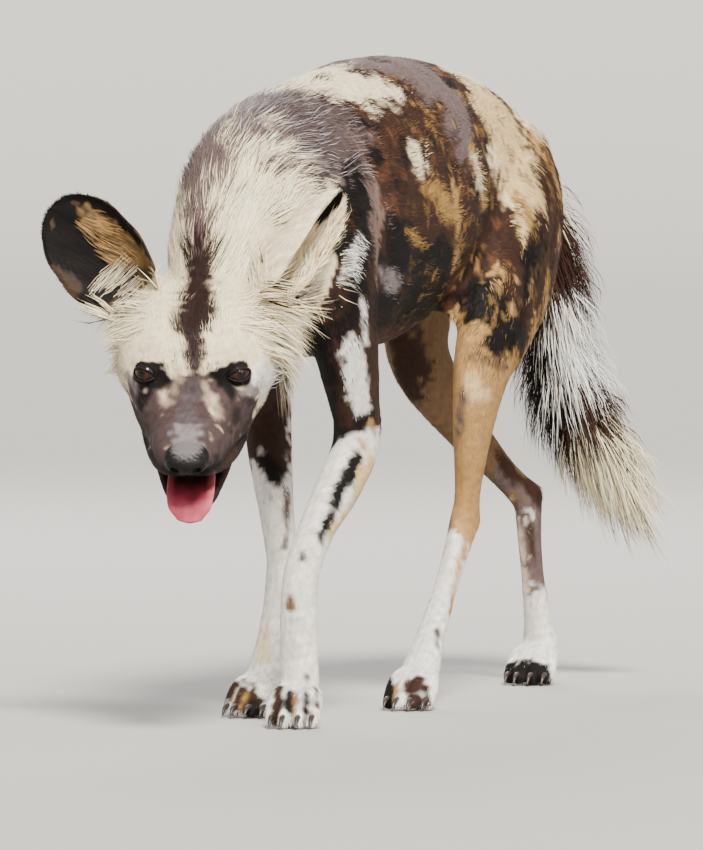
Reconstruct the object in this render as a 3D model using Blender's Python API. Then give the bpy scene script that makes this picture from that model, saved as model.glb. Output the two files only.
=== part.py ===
# An African wild dog at life size, walking with its head low.
# The dog faces -Y, its left side is +X, and all four paws stand on the floor at z = 0.
# Places are in metres from the ground below the withers; the last step moves the box's centre to the origin.

import math
import random

import bmesh
import bpy
import numpy as np
from mathutils import Matrix, Vector
from mathutils.bvhtree import BVHTree

# Driving dimensions
WITHERS_HEIGHT = 0.636
BACK_HEIGHT = 0.676
EYE_HEIGHT = 0.361
HEAD_PITCH = math.radians(31)
HEAD_YAW = math.radians(23.5)
EYE_RADIUS = 0.0112
EYE_DEPTH = 0.0080
LID_THICKNESS = 0.0024
OPEN_HALF_WIDTH = 0.0102
OPEN_HALF_HEIGHT = 0.0062
EAR_LENGTH = 0.126
EAR_HALF_WIDTH = 0.044
EAR_THICKNESS = 0.0028
NOSTRIL_RADIUS = 0.0034
WRIST_CUT = 0.066
FORELEG_CUT = 0.338
GAP = 0.0003
LOCK_GAP = 0.0005
CREASE_RADIUS = 0.013
HEAD_CREASE_RADIUS = 0.014
BODY_VOXEL = 0.0045
HEAD_VOXEL = 0.0021
PAW_VOXEL = 0.0024
BODY_TRIANGLES = 2800
HEAD_TRIANGLES = 1900
JAW_TRIANGLES = 320
PAW_TRIANGLES = 520
SEED = 7
# Long hair: rows along the body, locks in each row, and the largest length, width and lift off the skin
RUFF = {"rows": 7, "locks": 9, "length": 0.088, "width": 0.030, "lift": 12}
CHEEK = {"rows": 3, "locks": 4, "length": 0.068, "width": 0.022, "lift": 20}
MANE = {"rows": 5, "locks": 5, "length": 0.062, "width": 0.022, "lift": 13}
BRUSH = {"rows": 8, "locks": 6, "length": 0.112, "width": 0.030, "lift": 20}
LOCK_THICKNESS = 0.0050
LOCK_BOW = 0.10
ROOT_DEPTH = 0.0045

for old in list(bpy.data.objects):
    bpy.data.objects.remove(old)

# Head frame: forward along the skull, left across it and up through its crown, from the point between the eyes
HEAD_AT = Vector((0.060, -0.270, EYE_HEIGHT))
LEVEL = Vector((math.sin(HEAD_YAW), -math.cos(HEAD_YAW), 0))
FORWARD = LEVEL * math.cos(HEAD_PITCH) - Vector((0, 0, 1)) * math.sin(HEAD_PITCH)
LEFT = Vector((math.cos(HEAD_YAW), math.sin(HEAD_YAW), 0))
UP = FORWARD.cross(LEFT)


def in_head(forward, left, up):
    """The place in the dog's frame of a point given in the head's frame."""
    return HEAD_AT + FORWARD * forward + LEFT * left + UP * up


# Shapes worked out as points and faces

def smooth_rows(rows, per_span):
    """Rows on a Catmull-Rom curve through the given ones."""
    rows = np.asarray(rows, float)
    ends = np.vstack([2 * rows[0] - rows[1], rows, 2 * rows[-1] - rows[-2]])
    t = np.linspace(0, 1, per_span, endpoint=False)[:, None]
    spans = []
    for a, b, c, d in zip(ends, ends[1:], ends[2:], ends[3:]):
        spans.append(0.5 * (2 * b + (c - a) * t + (2 * a - 5 * b + 4 * c - d) * t**2
                            + (3 * b - a - 3 * c + d) * t**3))
    return np.vstack(spans + [rows[-1:]])


def tube(stations, across=(1, 0, 0), sides=20, per_span=4, cap_rings=3, square=2.0):
    """A closed tube through stations of x, y, z, half width and half height, with round ends.
    The half width lies along across, and the half height at right angles to it and to the path.
    Its section is an ellipse where square is 2, and boxier above that."""
    rows = smooth_rows(stations, per_span)
    centre, half = rows[:, :3], np.abs(rows[:, 3:5])
    along = np.gradient(centre, axis=0)
    along /= np.linalg.norm(along, axis=1, keepdims=True)
    across = np.asarray(across, float)
    side = across - along * (along @ across)[:, None]
    side /= np.linalg.norm(side, axis=1, keepdims=True)
    high = np.cross(side, along)
    bulge = np.linspace(0, math.pi / 2, cap_rings, endpoint=False)[1:]
    start = [(0, math.cos(a), -math.sin(a)) for a in bulge[::-1]]
    middle = [(i, 1.0, 0.0) for i in range(len(rows))]
    finish = [(len(rows) - 1, math.cos(a), math.sin(a)) for a in bulge]
    angle = np.linspace(0, 2 * math.pi, sides, endpoint=False)
    aside = np.sign(np.cos(angle)) * np.abs(np.cos(angle)) ** (2 / square)
    above = np.sign(np.sin(angle)) * np.abs(np.sin(angle)) ** (2 / square)
    rings = []
    for i, scale, push in start + middle + finish:
        hub = centre[i] + along[i] * push * half[i].min()
        rings.append(hub + np.outer(aside * half[i, 0] * scale, side[i])
                     + np.outer(above * half[i, 1] * scale, high[i]))
    first = centre[0] - along[0] * half[0].min()
    last = centre[-1] + along[-1] * half[-1].min()
    return closed_rings(rings, first, last)


def closed_rings(rings, first, last):
    """Faces between rings of equal count, with a fan to one point at each end."""
    sides, count = len(rings[0]), len(rings)
    points = np.vstack(rings + [first, last])
    faces = []
    for ring in range(count - 1):
        for k in range(sides):
            n = (k + 1) % sides
            low, high = ring * sides, (ring + 1) * sides
            faces.append((low + k, low + n, high + n, high + k))
    for k in range(sides):
        n = (k + 1) % sides
        faces.append((len(points) - 2, n, k))
        faces.append((len(points) - 1, (count - 1) * sides + k, (count - 1) * sides + n))
    return points, faces


def lock(root, tip, sag, face, width, thickness):
    """A flat tapered lock of hair from root to tip, which bows by the vector sag. Its flat side looks along face."""
    root, tip, sag, face = (Vector(v) for v in (root, tip, sag, face))
    rings = []
    for share, full in ((0.0, 0.80), (0.36, 1.0), (0.72, 0.56)):
        hub = root.lerp(tip, share) + sag * 4 * share * (1 - share)
        run = (tip - root) + sag * 4 * (1 - 2 * share)
        across = run.cross(face).normalized() * width / 2 * full
        thick = across.cross(run).normalized() * thickness / 2 * full
        rings.append(np.array([hub + across, hub + thick, hub - across, hub - thick]))
    return closed_rings(rings, np.array(root - (tip - root).normalized() * thickness), np.array(tip))


# Blender objects

def new_object(name, points, faces):
    mesh = bpy.data.meshes.new(name)
    mesh.from_pydata([tuple(p) for p in points], [], faces)
    shape = bmesh.new()
    shape.from_mesh(mesh)
    bmesh.ops.recalc_face_normals(shape, faces=shape.faces)
    shape.to_mesh(mesh)
    shape.free()
    thing = bpy.data.objects.new(name, mesh)
    bpy.context.scene.collection.objects.link(thing)
    return thing


def evaluated(thing):
    """Replaces an object's mesh by what its modifiers make of it."""
    graph = bpy.context.evaluated_depsgraph_get()
    graph.update()
    thing.data = bpy.data.meshes.new_from_object(thing.evaluated_get(graph))
    thing.modifiers.clear()
    return thing


def relax(mesh, rounds):
    """Evens out the steps of the voxels and keeps the volume: each round pulls in, then pushes back out."""
    points = np.empty(len(mesh.vertices) * 3)
    mesh.vertices.foreach_get("co", points)
    points = points.reshape(-1, 3)
    edges = np.empty(len(mesh.edges) * 2, int)
    mesh.edges.foreach_get("vertices", edges)
    ends = edges.reshape(-1, 2)
    count = np.bincount(ends.ravel(), minlength=len(points))[:, None]
    for step in [0.55, -0.57] * rounds:
        total = np.zeros_like(points)
        for axis in range(3):
            total[:, axis] = (np.bincount(ends[:, 0], points[ends[:, 1], axis], len(points))
                              + np.bincount(ends[:, 1], points[ends[:, 0], axis], len(points)))
        points = points + step * (total / count - points)
    mesh.vertices.foreach_set("co", points.ravel())
    mesh.update()


def fused(name, tubes, voxel, rounds):
    """One smooth closed body from overlapping closed tubes."""
    points, faces, start = [], [], 0
    for tube_points, tube_faces in tubes:
        points.append(tube_points)
        faces += [tuple(i + start for i in face) for face in tube_faces]
        start += len(tube_points)
    thing = new_object(name, np.vstack(points), faces)
    remesh = thing.modifiers.new("join", "REMESH")
    remesh.mode = "VOXEL"
    remesh.voxel_size = voxel
    evaluated(thing)
    relax(thing.data, rounds)
    return thing


def filleted(thing, radius, voxel):
    """Fills the creases of an object to about that radius: it swells, is joined again and shrinks back."""
    for number, strength in enumerate((radius, -radius)):
        swell = thing.modifiers.new(f"swell_{number}", "DISPLACE")
        swell.strength = strength
        swell.mid_level = 0
        join = thing.modifiers.new(f"join_{number}", "REMESH")
        join.mode = "VOXEL"
        join.voxel_size = voxel
    return evaluated(thing)


def shape_of(thing):
    """An object's mesh as points and faces, with the object itself removed."""
    points = np.array([vertex.co[:] for vertex in thing.data.vertices])
    faces = [tuple(polygon.vertices) for polygon in thing.data.polygons]
    bpy.data.objects.remove(thing)
    return points, faces


def thinned(thing, triangles):
    """The same shape in about that many triangles."""
    thing.data.calc_loop_triangles()
    decimate = thing.modifiers.new("thin", "DECIMATE")
    decimate.ratio = triangles / len(thing.data.loop_triangles)
    decimate.use_collapse_triangulate = True
    return evaluated(thing)


def half(thing, name, point, normal):
    """A copy of the part of thing that lies past a plane, on the side that normal points to, with the cut closed."""
    shape = bmesh.new()
    shape.from_mesh(thing.data)
    geometry = shape.verts[:] + shape.edges[:] + shape.faces[:]
    cut = bmesh.ops.bisect_plane(shape, geom=geometry, dist=1e-6, plane_co=point, plane_no=normal,
                                 clear_inner=True)
    rim = [e for e in cut["geom_cut"] if isinstance(e, bmesh.types.BMEdge) and e.is_valid and e.is_boundary]
    bmesh.ops.edgeloop_fill(shape, edges=rim)
    bmesh.ops.recalc_face_normals(shape, faces=shape.faces)
    mesh = bpy.data.meshes.new(name)
    shape.to_mesh(mesh)
    shape.free()
    piece = bpy.data.objects.new(name, mesh)
    bpy.context.scene.collection.objects.link(piece)
    return piece


def loose_parts(thing):
    """The separate closed bodies of an object, each as points and faces, largest first."""
    shape = bmesh.new()
    shape.from_mesh(thing.data)
    unseen, found = set(shape.verts), []
    while unseen:
        queue, group = [unseen.pop()], []
        while queue:
            vertex = queue.pop()
            group.append(vertex)
            for edge in vertex.link_edges:
                other = edge.other_vert(vertex)
                if other in unseen:
                    unseen.remove(other)
                    queue.append(other)
        number = {vertex: i for i, vertex in enumerate(group)}
        faces = {face for vertex in group for face in vertex.link_faces}
        ordered = sorted(faces, key=lambda face: face.index)
        found.append((np.array([v.co[:] for v in group]),
                      [tuple(number[v] for v in face.verts) for face in ordered]))
    shape.free()
    return sorted(found, key=lambda part: -len(part[0]))


def largest(thing):
    """Keeps only the largest closed surface of an object."""
    points, faces = loose_parts(thing)[0]
    mesh = bpy.data.meshes.new(thing.name)
    mesh.from_pydata([tuple(p) for p in points], [], faces)
    thing.data = mesh
    return thing


def joined(thing, pieces, solver="MANIFOLD"):
    """Fuses closed shapes, given as points and faces, into an object by one union."""
    group = bpy.data.collections.new(thing.name + "_pieces")
    bpy.context.scene.collection.children.link(group)
    for number, (points, faces) in enumerate(pieces):
        piece = new_object(f"{thing.name}_piece_{number}", points, faces)
        bpy.context.scene.collection.objects.unlink(piece)
        group.objects.link(piece)
    union = thing.modifiers.new("union", "BOOLEAN")
    union.operation = "UNION"
    union.operand_type = "COLLECTION"
    union.collection = group
    union.solver = solver
    evaluated(thing)
    for piece in list(group.objects):
        bpy.data.objects.remove(piece)
    bpy.data.collections.remove(group)
    return largest(thing)


def swollen(thing, gap):
    """A copy of an object whose points are moved out along their normals."""
    cutter = thing.copy()
    cutter.data = thing.data.copy()
    bpy.context.scene.collection.objects.link(cutter)
    shape = bmesh.new()
    shape.from_mesh(cutter.data)
    shape.normal_update()
    moved = [(vertex, vertex.co + vertex.normal * gap) for vertex in shape.verts]
    for vertex, place in moved:
        vertex.co = place
    shape.to_mesh(cutter.data)
    shape.free()
    return cutter


def carved(thing, other, gap=GAP, solver="EXACT"):
    """Cuts from thing the space that other takes up with a gap round it."""
    cutter = swollen(other, gap)
    cut = thing.modifiers.new("cut", "BOOLEAN")
    cut.operation = "DIFFERENCE"
    cut.solver = solver
    cut.object = cutter
    evaluated(thing)
    bpy.data.objects.remove(cutter)
    return largest(thing)


def carved_locks(thing, other):
    """The same between pieces with locks. The second cut is for places between sharp edges, where the
    swollen copy folds over itself."""
    carved(thing, other, LOCK_GAP, "MANIFOLD")
    carved(thing, other, 0, "MANIFOLD")


# Trunk: y, top, bottom and half width, from the breast to the root of the tail
TRUNK = [
    (-0.100, 0.545, 0.435, 0.046),
    (-0.060, 0.605, 0.395, 0.072),
    (0.000, WITHERS_HEIGHT - 0.002, 0.365, 0.088),
    (0.060, WITHERS_HEIGHT + 0.008, 0.356, 0.096),
    (0.130, 0.660, 0.357, 0.100),
    (0.200, 0.672, 0.364, 0.101),
    (0.280, BACK_HEIGHT, 0.388, 0.096),
    (0.350, 0.669, 0.416, 0.086),
    (0.420, 0.653, 0.440, 0.081),
    (0.490, 0.627, 0.466, 0.072),
    (0.528, 0.604, 0.496, 0.056),
    (0.552, 0.586, 0.520, 0.040),
]
# Tubes below: x, y, z, half width and half depth
NECK = [
    (0.041, -0.206, 0.402, 0.050, 0.054),
    (0.038, -0.162, 0.433, 0.063, 0.072),
    (0.028, -0.105, 0.470, 0.074, 0.092),
    (0.012, -0.045, 0.502, 0.082, 0.110),
    (0.000, 0.030, 0.522, 0.088, 0.114),
]
SHOULDER_LEFT = [
    (0.045, 0.050, 0.590, 0.030, 0.040),
    (0.061, 0.030, 0.530, 0.037, 0.064),
    (0.070, 0.010, 0.460, 0.038, 0.066),
    (0.072, 0.026, 0.390, 0.034, 0.054),
    (0.070, 0.045, 0.340, 0.030, 0.042),
    (0.068, 0.062, 0.300, 0.026, 0.034),
]
FORELEG_LEFT = [
    (0.068, 0.062, 0.303, 0.026, 0.034),
    (0.066, 0.058, 0.270, 0.025, 0.031),
    (0.063, 0.026, 0.232, 0.025, 0.028),
    (0.060, -0.012, 0.194, 0.0215, 0.0225),
    (0.057, -0.038, 0.152, 0.0215, 0.0220),
    (0.057, -0.044, 0.112, 0.0225, 0.0200),
    (0.058, -0.045, 0.072, 0.0230, 0.0185),
    (0.059, -0.046, 0.042, 0.0240, 0.0190),
]
SHOULDER_RIGHT = [
    (-0.045, 0.050, 0.590, 0.030, 0.040),
    (-0.062, 0.035, 0.530, 0.037, 0.064),
    (-0.073, 0.025, 0.460, 0.038, 0.066),
    (-0.076, 0.060, 0.395, 0.035, 0.060),
    (-0.073, 0.108, 0.335, 0.029, 0.044),
    (-0.070, 0.128, 0.310, 0.025, 0.034),
]
FORELEG_RIGHT = [
    (-0.070, 0.126, 0.312, 0.027, 0.034),
    (-0.063, 0.121, 0.262, 0.025, 0.029),
    (-0.052, 0.114, 0.205, 0.021, 0.023),
    (-0.044, 0.110, 0.158, 0.019, 0.020),
    (-0.042, 0.108, 0.134, 0.021, 0.021),
    (-0.043, 0.096, 0.100, 0.018, 0.017),
    (-0.043, 0.084, 0.070, 0.019, 0.017),
    (-0.044, 0.074, 0.042, 0.024, 0.019),
]
THIGH_LEFT = [
    (0.044, 0.465, 0.575, 0.034, 0.062),
    (0.058, 0.450, 0.520, 0.038, 0.084),
    (0.068, 0.410, 0.455, 0.039, 0.082),
    (0.075, 0.358, 0.395, 0.036, 0.064),
    (0.074, 0.328, 0.345, 0.031, 0.047),
    (0.063, 0.330, 0.285, 0.024, 0.034),
    (0.051, 0.342, 0.225, 0.018, 0.024),
    (0.044, 0.350, 0.190, 0.017, 0.025),
]
HINDLEG_LEFT = [
    (0.044, 0.352, 0.194, 0.0165, 0.0250),
    (0.043, 0.326, 0.150, 0.0150, 0.0180),
    (0.044, 0.294, 0.105, 0.0150, 0.0160),
    (0.046, 0.262, 0.066, 0.0180, 0.0170),
    (0.047, 0.244, 0.042, 0.0230, 0.0190),
]
THIGH_RIGHT = [
    (-0.044, 0.465, 0.575, 0.034, 0.062),
    (-0.058, 0.468, 0.520, 0.038, 0.082),
    (-0.072, 0.474, 0.455, 0.039, 0.078),
    (-0.081, 0.482, 0.395, 0.036, 0.062),
    (-0.080, 0.494, 0.345, 0.031, 0.048),
    (-0.062, 0.542, 0.285, 0.024, 0.034),
    (-0.041, 0.596, 0.232, 0.018, 0.024),
    (-0.027, 0.630, 0.202, 0.017, 0.024),
]
HINDLEG_RIGHT = [
    (-0.026, 0.636, 0.204, 0.0165, 0.0245),
    (-0.024, 0.636, 0.155, 0.0150, 0.0180),
    (-0.023, 0.644, 0.105, 0.0150, 0.0160),
    (-0.022, 0.653, 0.066, 0.0180, 0.0170),
    (-0.022, 0.659, 0.042, 0.0230, 0.0190),
]
TAIL = [
    (0.000, 0.562, 0.556, 0.026, 0.026),
    (-0.001, 0.600, 0.532, 0.024, 0.024),
    (-0.002, 0.628, 0.470, 0.023, 0.023),
    (-0.001, 0.640, 0.400, 0.023, 0.023),
    (0.006, 0.656, 0.335, 0.023, 0.023),
    (0.020, 0.680, 0.282, 0.021, 0.021),
    (0.035, 0.706, 0.237, 0.018, 0.018),
    (0.047, 0.728, 0.205, 0.011, 0.011),
]
# Head shapes: forward, top, bottom and half width in the head's frame
SKULL = [
    (0.094, -0.025, -0.056, 0.029),
    (0.082, -0.018, -0.060, 0.036),
    (0.058, -0.014, -0.064, 0.043),
    (0.034, -0.009, -0.066, 0.050),
    (0.012, 0.003, -0.068, 0.060),
    (-0.012, 0.027, -0.069, 0.073),
    (-0.040, 0.044, -0.068, 0.081),
    (-0.072, 0.050, -0.063, 0.077),
    (-0.104, 0.042, -0.050, 0.062),
]
JAW = [
    (0.077, -0.100, -0.114, 0.022),
    (0.060, -0.092, -0.115, 0.028),
    (0.030, -0.079, -0.111, 0.034),
    (0.000, -0.066, -0.104, 0.041),
    (-0.030, -0.054, -0.089, 0.043),
    (-0.056, -0.046, -0.073, 0.038),
]
# Forward, left, up and radius along the fleshy side of the muzzle
FLEWS = [
    (0.086, 0.015, -0.049, 0.0115),
    (0.064, 0.024, -0.053, 0.0135),
    (0.034, 0.031, -0.054, 0.0165),
    (0.004, 0.040, -0.050, 0.0200),
    (-0.030, 0.048, -0.046, 0.0220),
]
# Forward, left, up and radius of the lips, from the middle of the mouth to its left corner
UPPER_LIP = [
    (0.097, 0.000, -0.056, 0.0045),
    (0.092, 0.015, -0.059, 0.0050),
    (0.078, 0.027, -0.064, 0.0056),
    (0.054, 0.036, -0.069, 0.0062),
    (0.028, 0.043, -0.071, 0.0060),
    (0.004, 0.050, -0.064, 0.0050),
]
LOWER_LIP = [
    (0.087, 0.000, -0.101, 0.0042),
    (0.080, 0.018, -0.099, 0.0045),
    (0.058, 0.028, -0.090, 0.0048),
    (0.030, 0.036, -0.078, 0.0050),
    (0.008, 0.042, -0.068, 0.0050),
]
# Forward, up, half width and half thickness along the tongue
TONGUE = [
    (0.030, -0.074, 0.020, 0.0050),
    (0.060, -0.085, 0.023, 0.0050),
    (0.084, -0.092, 0.0255, 0.0048),
    (0.098, -0.096, 0.0260, 0.0042),
    (0.107, -0.102, 0.0230, 0.0038),
    (0.111, -0.109, 0.0150, 0.0032),
]
# Forward, half width and half height of the nose pad
NOSE = [(0.092, 0.0205, 0.0125), (0.103, 0.0222, 0.0125), (0.110, 0.0195, 0.0105)]
NOSE_UP = -0.033
EYES = {"left": 1, "right": -1}
EYE_AT = (0.000, 0.0400, -0.004)


def trunk_tube():
    rows = [(0, y, (top + low) / 2, half_width, (top - low) / 2) for y, top, low, half_width in TRUNK]
    return tube(rows, sides=28)


def head_tube(table, sides=24, square=2.5):
    rows = []
    for forward, top, low, half_width in table:
        rows.append((*in_head(forward, 0, (top + low) / 2), half_width, (top - low) / 2))
    return tube(rows, across=LEFT, sides=sides, square=square)


def flew_tubes():
    """The fleshy sides of the muzzle, from beside the nose to the corners of the mouth."""
    tubes = []
    for side in EYES.values():
        rows = [(*in_head(forward, left * side, up), radius, radius) for forward, left, up, radius in FLEWS]
        tubes.append(tube(rows, across=UP, sides=14, per_span=3))
    return tubes


def lip_tube(table):
    """A lip from one corner of the mouth round the front to the other."""
    one_side = [(forward, left, up, radius) for forward, left, up, radius in table]
    other_side = [(forward, -left, up, radius) for forward, left, up, radius in one_side[:0:-1]]
    rows = [(*in_head(forward, left, up), radius, radius) for forward, left, up, radius in other_side + one_side]
    return tube(rows, across=UP, sides=10, per_span=3)


def eye_places():
    """Each eyeball's centre, just below the skull's surface, and the way it looks."""
    points, faces = head_tube(SKULL)
    tree = BVHTree.FromPolygons([Vector(p) for p in points], faces)
    places = {}
    for name, side in EYES.items():
        gaze = (FORWARD * 0.80 + LEFT * side * 0.42 + UP * 0.42).normalized()
        forward, left, up = EYE_AT
        hit = tree.ray_cast(in_head(forward, left * side, up) + gaze * 0.2, -gaze)[0]
        places[name] = (hit - gaze * EYE_DEPTH, gaze)
    return places


def lid_ball(centre):
    """The lids as a ball round the eyeball, which the opening is cut from."""
    reach = EYE_RADIUS + LID_THICKNESS
    rows = [(*(centre + UP * offset), reach, reach) for offset in (-0.0004, 0.0004)]
    return tube(rows, across=LEFT, sides=20, per_span=1, cap_rings=7)


def lid_opening(centre, gaze):
    """An almond seen from the front, as a tube along the gaze."""
    across = (LEFT - gaze * LEFT.dot(gaze)).normalized()
    rows = []
    for ahead in (0.004, 0.012, 0.022):
        rows.append((*(centre + gaze * ahead), OPEN_HALF_WIDTH, OPEN_HALF_HEIGHT))
    return tube(rows, across=across, sides=12, per_span=1, cap_rings=1, square=1.7)


def turned(rows, fetlock, turn):
    """Rows of a paw that points straight ahead, turned outwards about the fetlock."""
    placed = []
    for x, y, *rest in rows:
        aside, ahead = x - fetlock[0], fetlock[1] - y
        placed.append((fetlock[0] + aside * math.cos(turn) + ahead * math.sin(turn),
                       fetlock[1] + aside * math.sin(turn) - ahead * math.cos(turn), *rest))
    return placed


def toe_tubes(fetlock, turn):
    """Four toes that arch forward from the fetlock to the floor, with the pad behind them."""
    tubes, across = [], (math.cos(turn), math.sin(turn), 0)
    for offset, reach in TOES:
        rows = []
        for share, ahead, height, radius in ((0.45, 0.00, 0.036, 0.0115), (0.85, 0.45, 0.0315, 0.0098),
                                             (1.00, 0.85, 0.0150, 0.0086), (1.00, 1.00, 0.0072, 0.0082)):
            rows.append((fetlock[0] + offset * share, fetlock[1] - reach * ahead - 0.004, height, radius, radius))
        tubes.append(tube(turned(rows, fetlock, turn), across=across, sides=12))
    heel = [(fetlock[0], fetlock[1] + ahead, height, wide, 0.014)
            for ahead, height, wide in ((0.014, 0.022, 0.014), (0.000, 0.014, 0.018), (-0.018, 0.012, 0.018))]
    tubes.append(tube(turned(heel, fetlock, turn), across=across, sides=14))
    return tubes


# Offset and reach of each toe, and how far each paw turns towards the dog's left
TOES = ((-0.0200, 0.038), (-0.0075, 0.047), (0.0075, 0.047), (0.0200, 0.038))
PAW_TURNS = {"forepaw_left": 18, "forepaw_right": 4, "hindpaw_left": 8, "hindpaw_right": 8}


def claws(fetlock, turn):
    """A blunt claw from the end of each toe, pointing forward and down."""
    shapes = []
    for offset, reach in TOES:
        x, y = fetlock[0] + offset, fetlock[1] - reach - 0.004
        rows = [(x, y, 0.0125, 0.0040, 0.0048), (x, y - 0.011, 0.0120, 0.0032, 0.0040),
                (x, y - 0.019, 0.0075, 0.0016, 0.0020)]
        rows = turned(rows, fetlock, turn)
        shapes.append(tube(rows, across=(math.cos(turn), math.sin(turn), 0), sides=5, per_span=1, cap_rings=1))
    return shapes


LIMBS = {
    "foreleg_left": (SHOULDER_LEFT, FORELEG_LEFT),
    "foreleg_right": (SHOULDER_RIGHT, FORELEG_RIGHT),
    "hindleg_left": (THIGH_LEFT, HINDLEG_LEFT),
    "hindleg_right": (THIGH_RIGHT, HINDLEG_RIGHT),
}
# The plane between the hind legs and the trunk rises towards the tail
HIND_CUT_AT = Vector((0, 0.290, 0.380))
HIND_CUT_NORMAL = Vector((0, -0.30, 1.0)).normalized()
NECK_CUT_AT = Vector((0, -0.060, 0.545))
NECK_CUT_NORMAL = Vector((0, -0.885, 0.466)).normalized()
HEAD_CUT_BACK = -0.112


def make_body():
    """Torso, neck and the four legs, cut from one fused body."""
    tubes = [trunk_tube(), tube(NECK)]
    for upper, lower in LIMBS.values():
        tubes += [tube(upper), tube(lower)]
    body = filleted(fused("body", tubes, BODY_VOXEL, 4), CREASE_RADIUS, BODY_VOXEL)
    relax(body.data, 6)
    thinned(body, BODY_TRIANGLES)
    above = Vector((0, 0, 1))
    hind = half(body, "hind", HIND_CUT_AT - HIND_CUT_NORMAL * GAP, -HIND_CUT_NORMAL)
    fore = half(body, "fore", (0, 0, FORELEG_CUT - GAP), -above)
    for group, pair, is_pair in ((hind, "hindleg", lambda y: y > 0.2), (fore, "foreleg", lambda y: y < 0.2)):
        for points, faces in loose_parts(group):
            middle = points.mean(axis=0)
            if is_pair(middle[1]) and len(points) > 60:
                name = f"{pair}_{'left' if middle[0] > 0 else 'right'}"
                whole = new_object(name + "_whole", points, faces)
                half(whole, name, (0, 0, WRIST_CUT + GAP), above)
                bpy.data.objects.remove(whole)
        bpy.data.objects.remove(group)
    back = half(body, "back", HIND_CUT_AT, HIND_CUT_NORMAL)
    trunk = half(back, "trunk", (0, 0, FORELEG_CUT), above)
    half(trunk, "torso", NECK_CUT_AT - NECK_CUT_NORMAL * GAP, -NECK_CUT_NORMAL)
    fore_part = half(trunk, "fore_part", NECK_CUT_AT, NECK_CUT_NORMAL)
    half(fore_part, "neck", in_head(HEAD_CUT_BACK - GAP, 0, 0), -FORWARD)
    for helper in (body, back, trunk, fore_part):
        bpy.data.objects.remove(helper)


def make_paws():
    for leg, (_, lower) in LIMBS.items():
        name = leg.replace("leg", "paw")
        turn = math.radians(PAW_TURNS[name])
        whole = fused(name + "_whole", [tube(lower)] + toe_tubes(lower[-1], turn), PAW_VOXEL, 4)
        thinned(whole, PAW_TRIANGLES)
        below = half(whole, name + "_below", (0, 0, WRIST_CUT), (0, 0, -1))
        joined(below, claws(lower[-1], turn))
        half(below, name, (0, 0, 0), (0, 0, 1))
        bpy.data.objects.remove(whole)
        bpy.data.objects.remove(below)


def make_eye(side_name, centre):
    shape = bmesh.new()
    bmesh.ops.create_uvsphere(shape, u_segments=12, v_segments=8, radius=EYE_RADIUS,
                              matrix=Matrix.Translation(centre))
    mesh = bpy.data.meshes.new("eye_" + side_name)
    shape.to_mesh(mesh)
    shape.free()
    eye = bpy.data.objects.new("eye_" + side_name, mesh)
    bpy.context.scene.collection.objects.link(eye)
    return eye


def make_head(eye_spots):
    flesh = fused("flesh", [head_tube(SKULL), tube(NECK)] + flew_tubes(), HEAD_VOXEL, 3)
    relax(filleted(flesh, HEAD_CREASE_RADIUS, HEAD_VOXEL).data, 4)
    tubes = [shape_of(flesh), lip_tube(UPPER_LIP)]
    tubes += [lid_ball(centre) for centre, _ in eye_spots.values()]
    whole = fused("head_whole", tubes, HEAD_VOXEL, 2)
    thinned(whole, HEAD_TRIANGLES)
    head = half(whole, "head", in_head(HEAD_CUT_BACK, 0, 0), FORWARD)
    bpy.data.objects.remove(whole)
    for name, (centre, gaze) in eye_spots.items():
        opening = new_object("opening", *lid_opening(centre, gaze))
        carved(head, opening, 0)
        bpy.data.objects.remove(opening)
        carved(head, make_eye(name, centre))
    return head


def make_nose(head):
    """The pad stands proud of the end of the muzzle, with a nostril bored into each side."""
    rows = [(*in_head(forward, 0, NOSE_UP), wide, high) for forward, wide, high in NOSE]
    nose = carved(new_object("nose", *tube(rows, across=LEFT, sides=14, per_span=1)), head)
    for side in EYES.values():
        rows = []
        for forward, left, up in ((0.126, 0.0130, -0.0360), (0.116, 0.0100, -0.0350), (0.108, 0.0075, -0.0340)):
            rows.append((*in_head(forward, left * side, up), NOSTRIL_RADIUS, NOSTRIL_RADIUS * 0.8))
        bore = new_object("bore", *tube(rows, across=LEFT, sides=8, per_span=1, cap_rings=1))
        carved(nose, bore, 0)
        bpy.data.objects.remove(bore)
    return nose


def make_tongue():
    rows = [(*in_head(forward, 0, up), wide, thick) for forward, up, wide, thick in TONGUE]
    return new_object("tongue", *tube(rows, across=LEFT, sides=10, per_span=1))


def make_jaw(head, tongue):
    whole = [head_tube(JAW, sides=16), lip_tube(LOWER_LIP)]
    jaw = thinned(fused("jaw", whole, HEAD_VOXEL, 3), JAW_TRIANGLES)
    carved(jaw, tongue)
    return carved(jaw, head)


# Base, axis from base to tip and the way the cup faces, for each ear; the left one is laid back along the neck
EARS = {
    "right": (in_head(-0.078, -0.060, 0.030), Vector((-0.64, -0.16, 0.75)), Vector((0.30, -0.94, -0.06)), 1.0),
    "left": (in_head(-0.085, 0.068, 0.034), Vector((0.44, 0.46, 0.80)), Vector((0.88, -0.05, -0.30)), 0.60),
}
# Share of the length, share of the full half width and depth of the cup as a share of the half width
EAR_PROFILE = [
    (-0.16, 0.44, 0.60), (0.00, 0.66, 0.78), (0.15, 0.86, 0.72), (0.32, 0.98, 0.58), (0.50, 1.00, 0.44),
    (0.66, 0.94, 0.33), (0.80, 0.79, 0.25), (0.91, 0.55, 0.18), (0.975, 0.27, 0.10),
]


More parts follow.
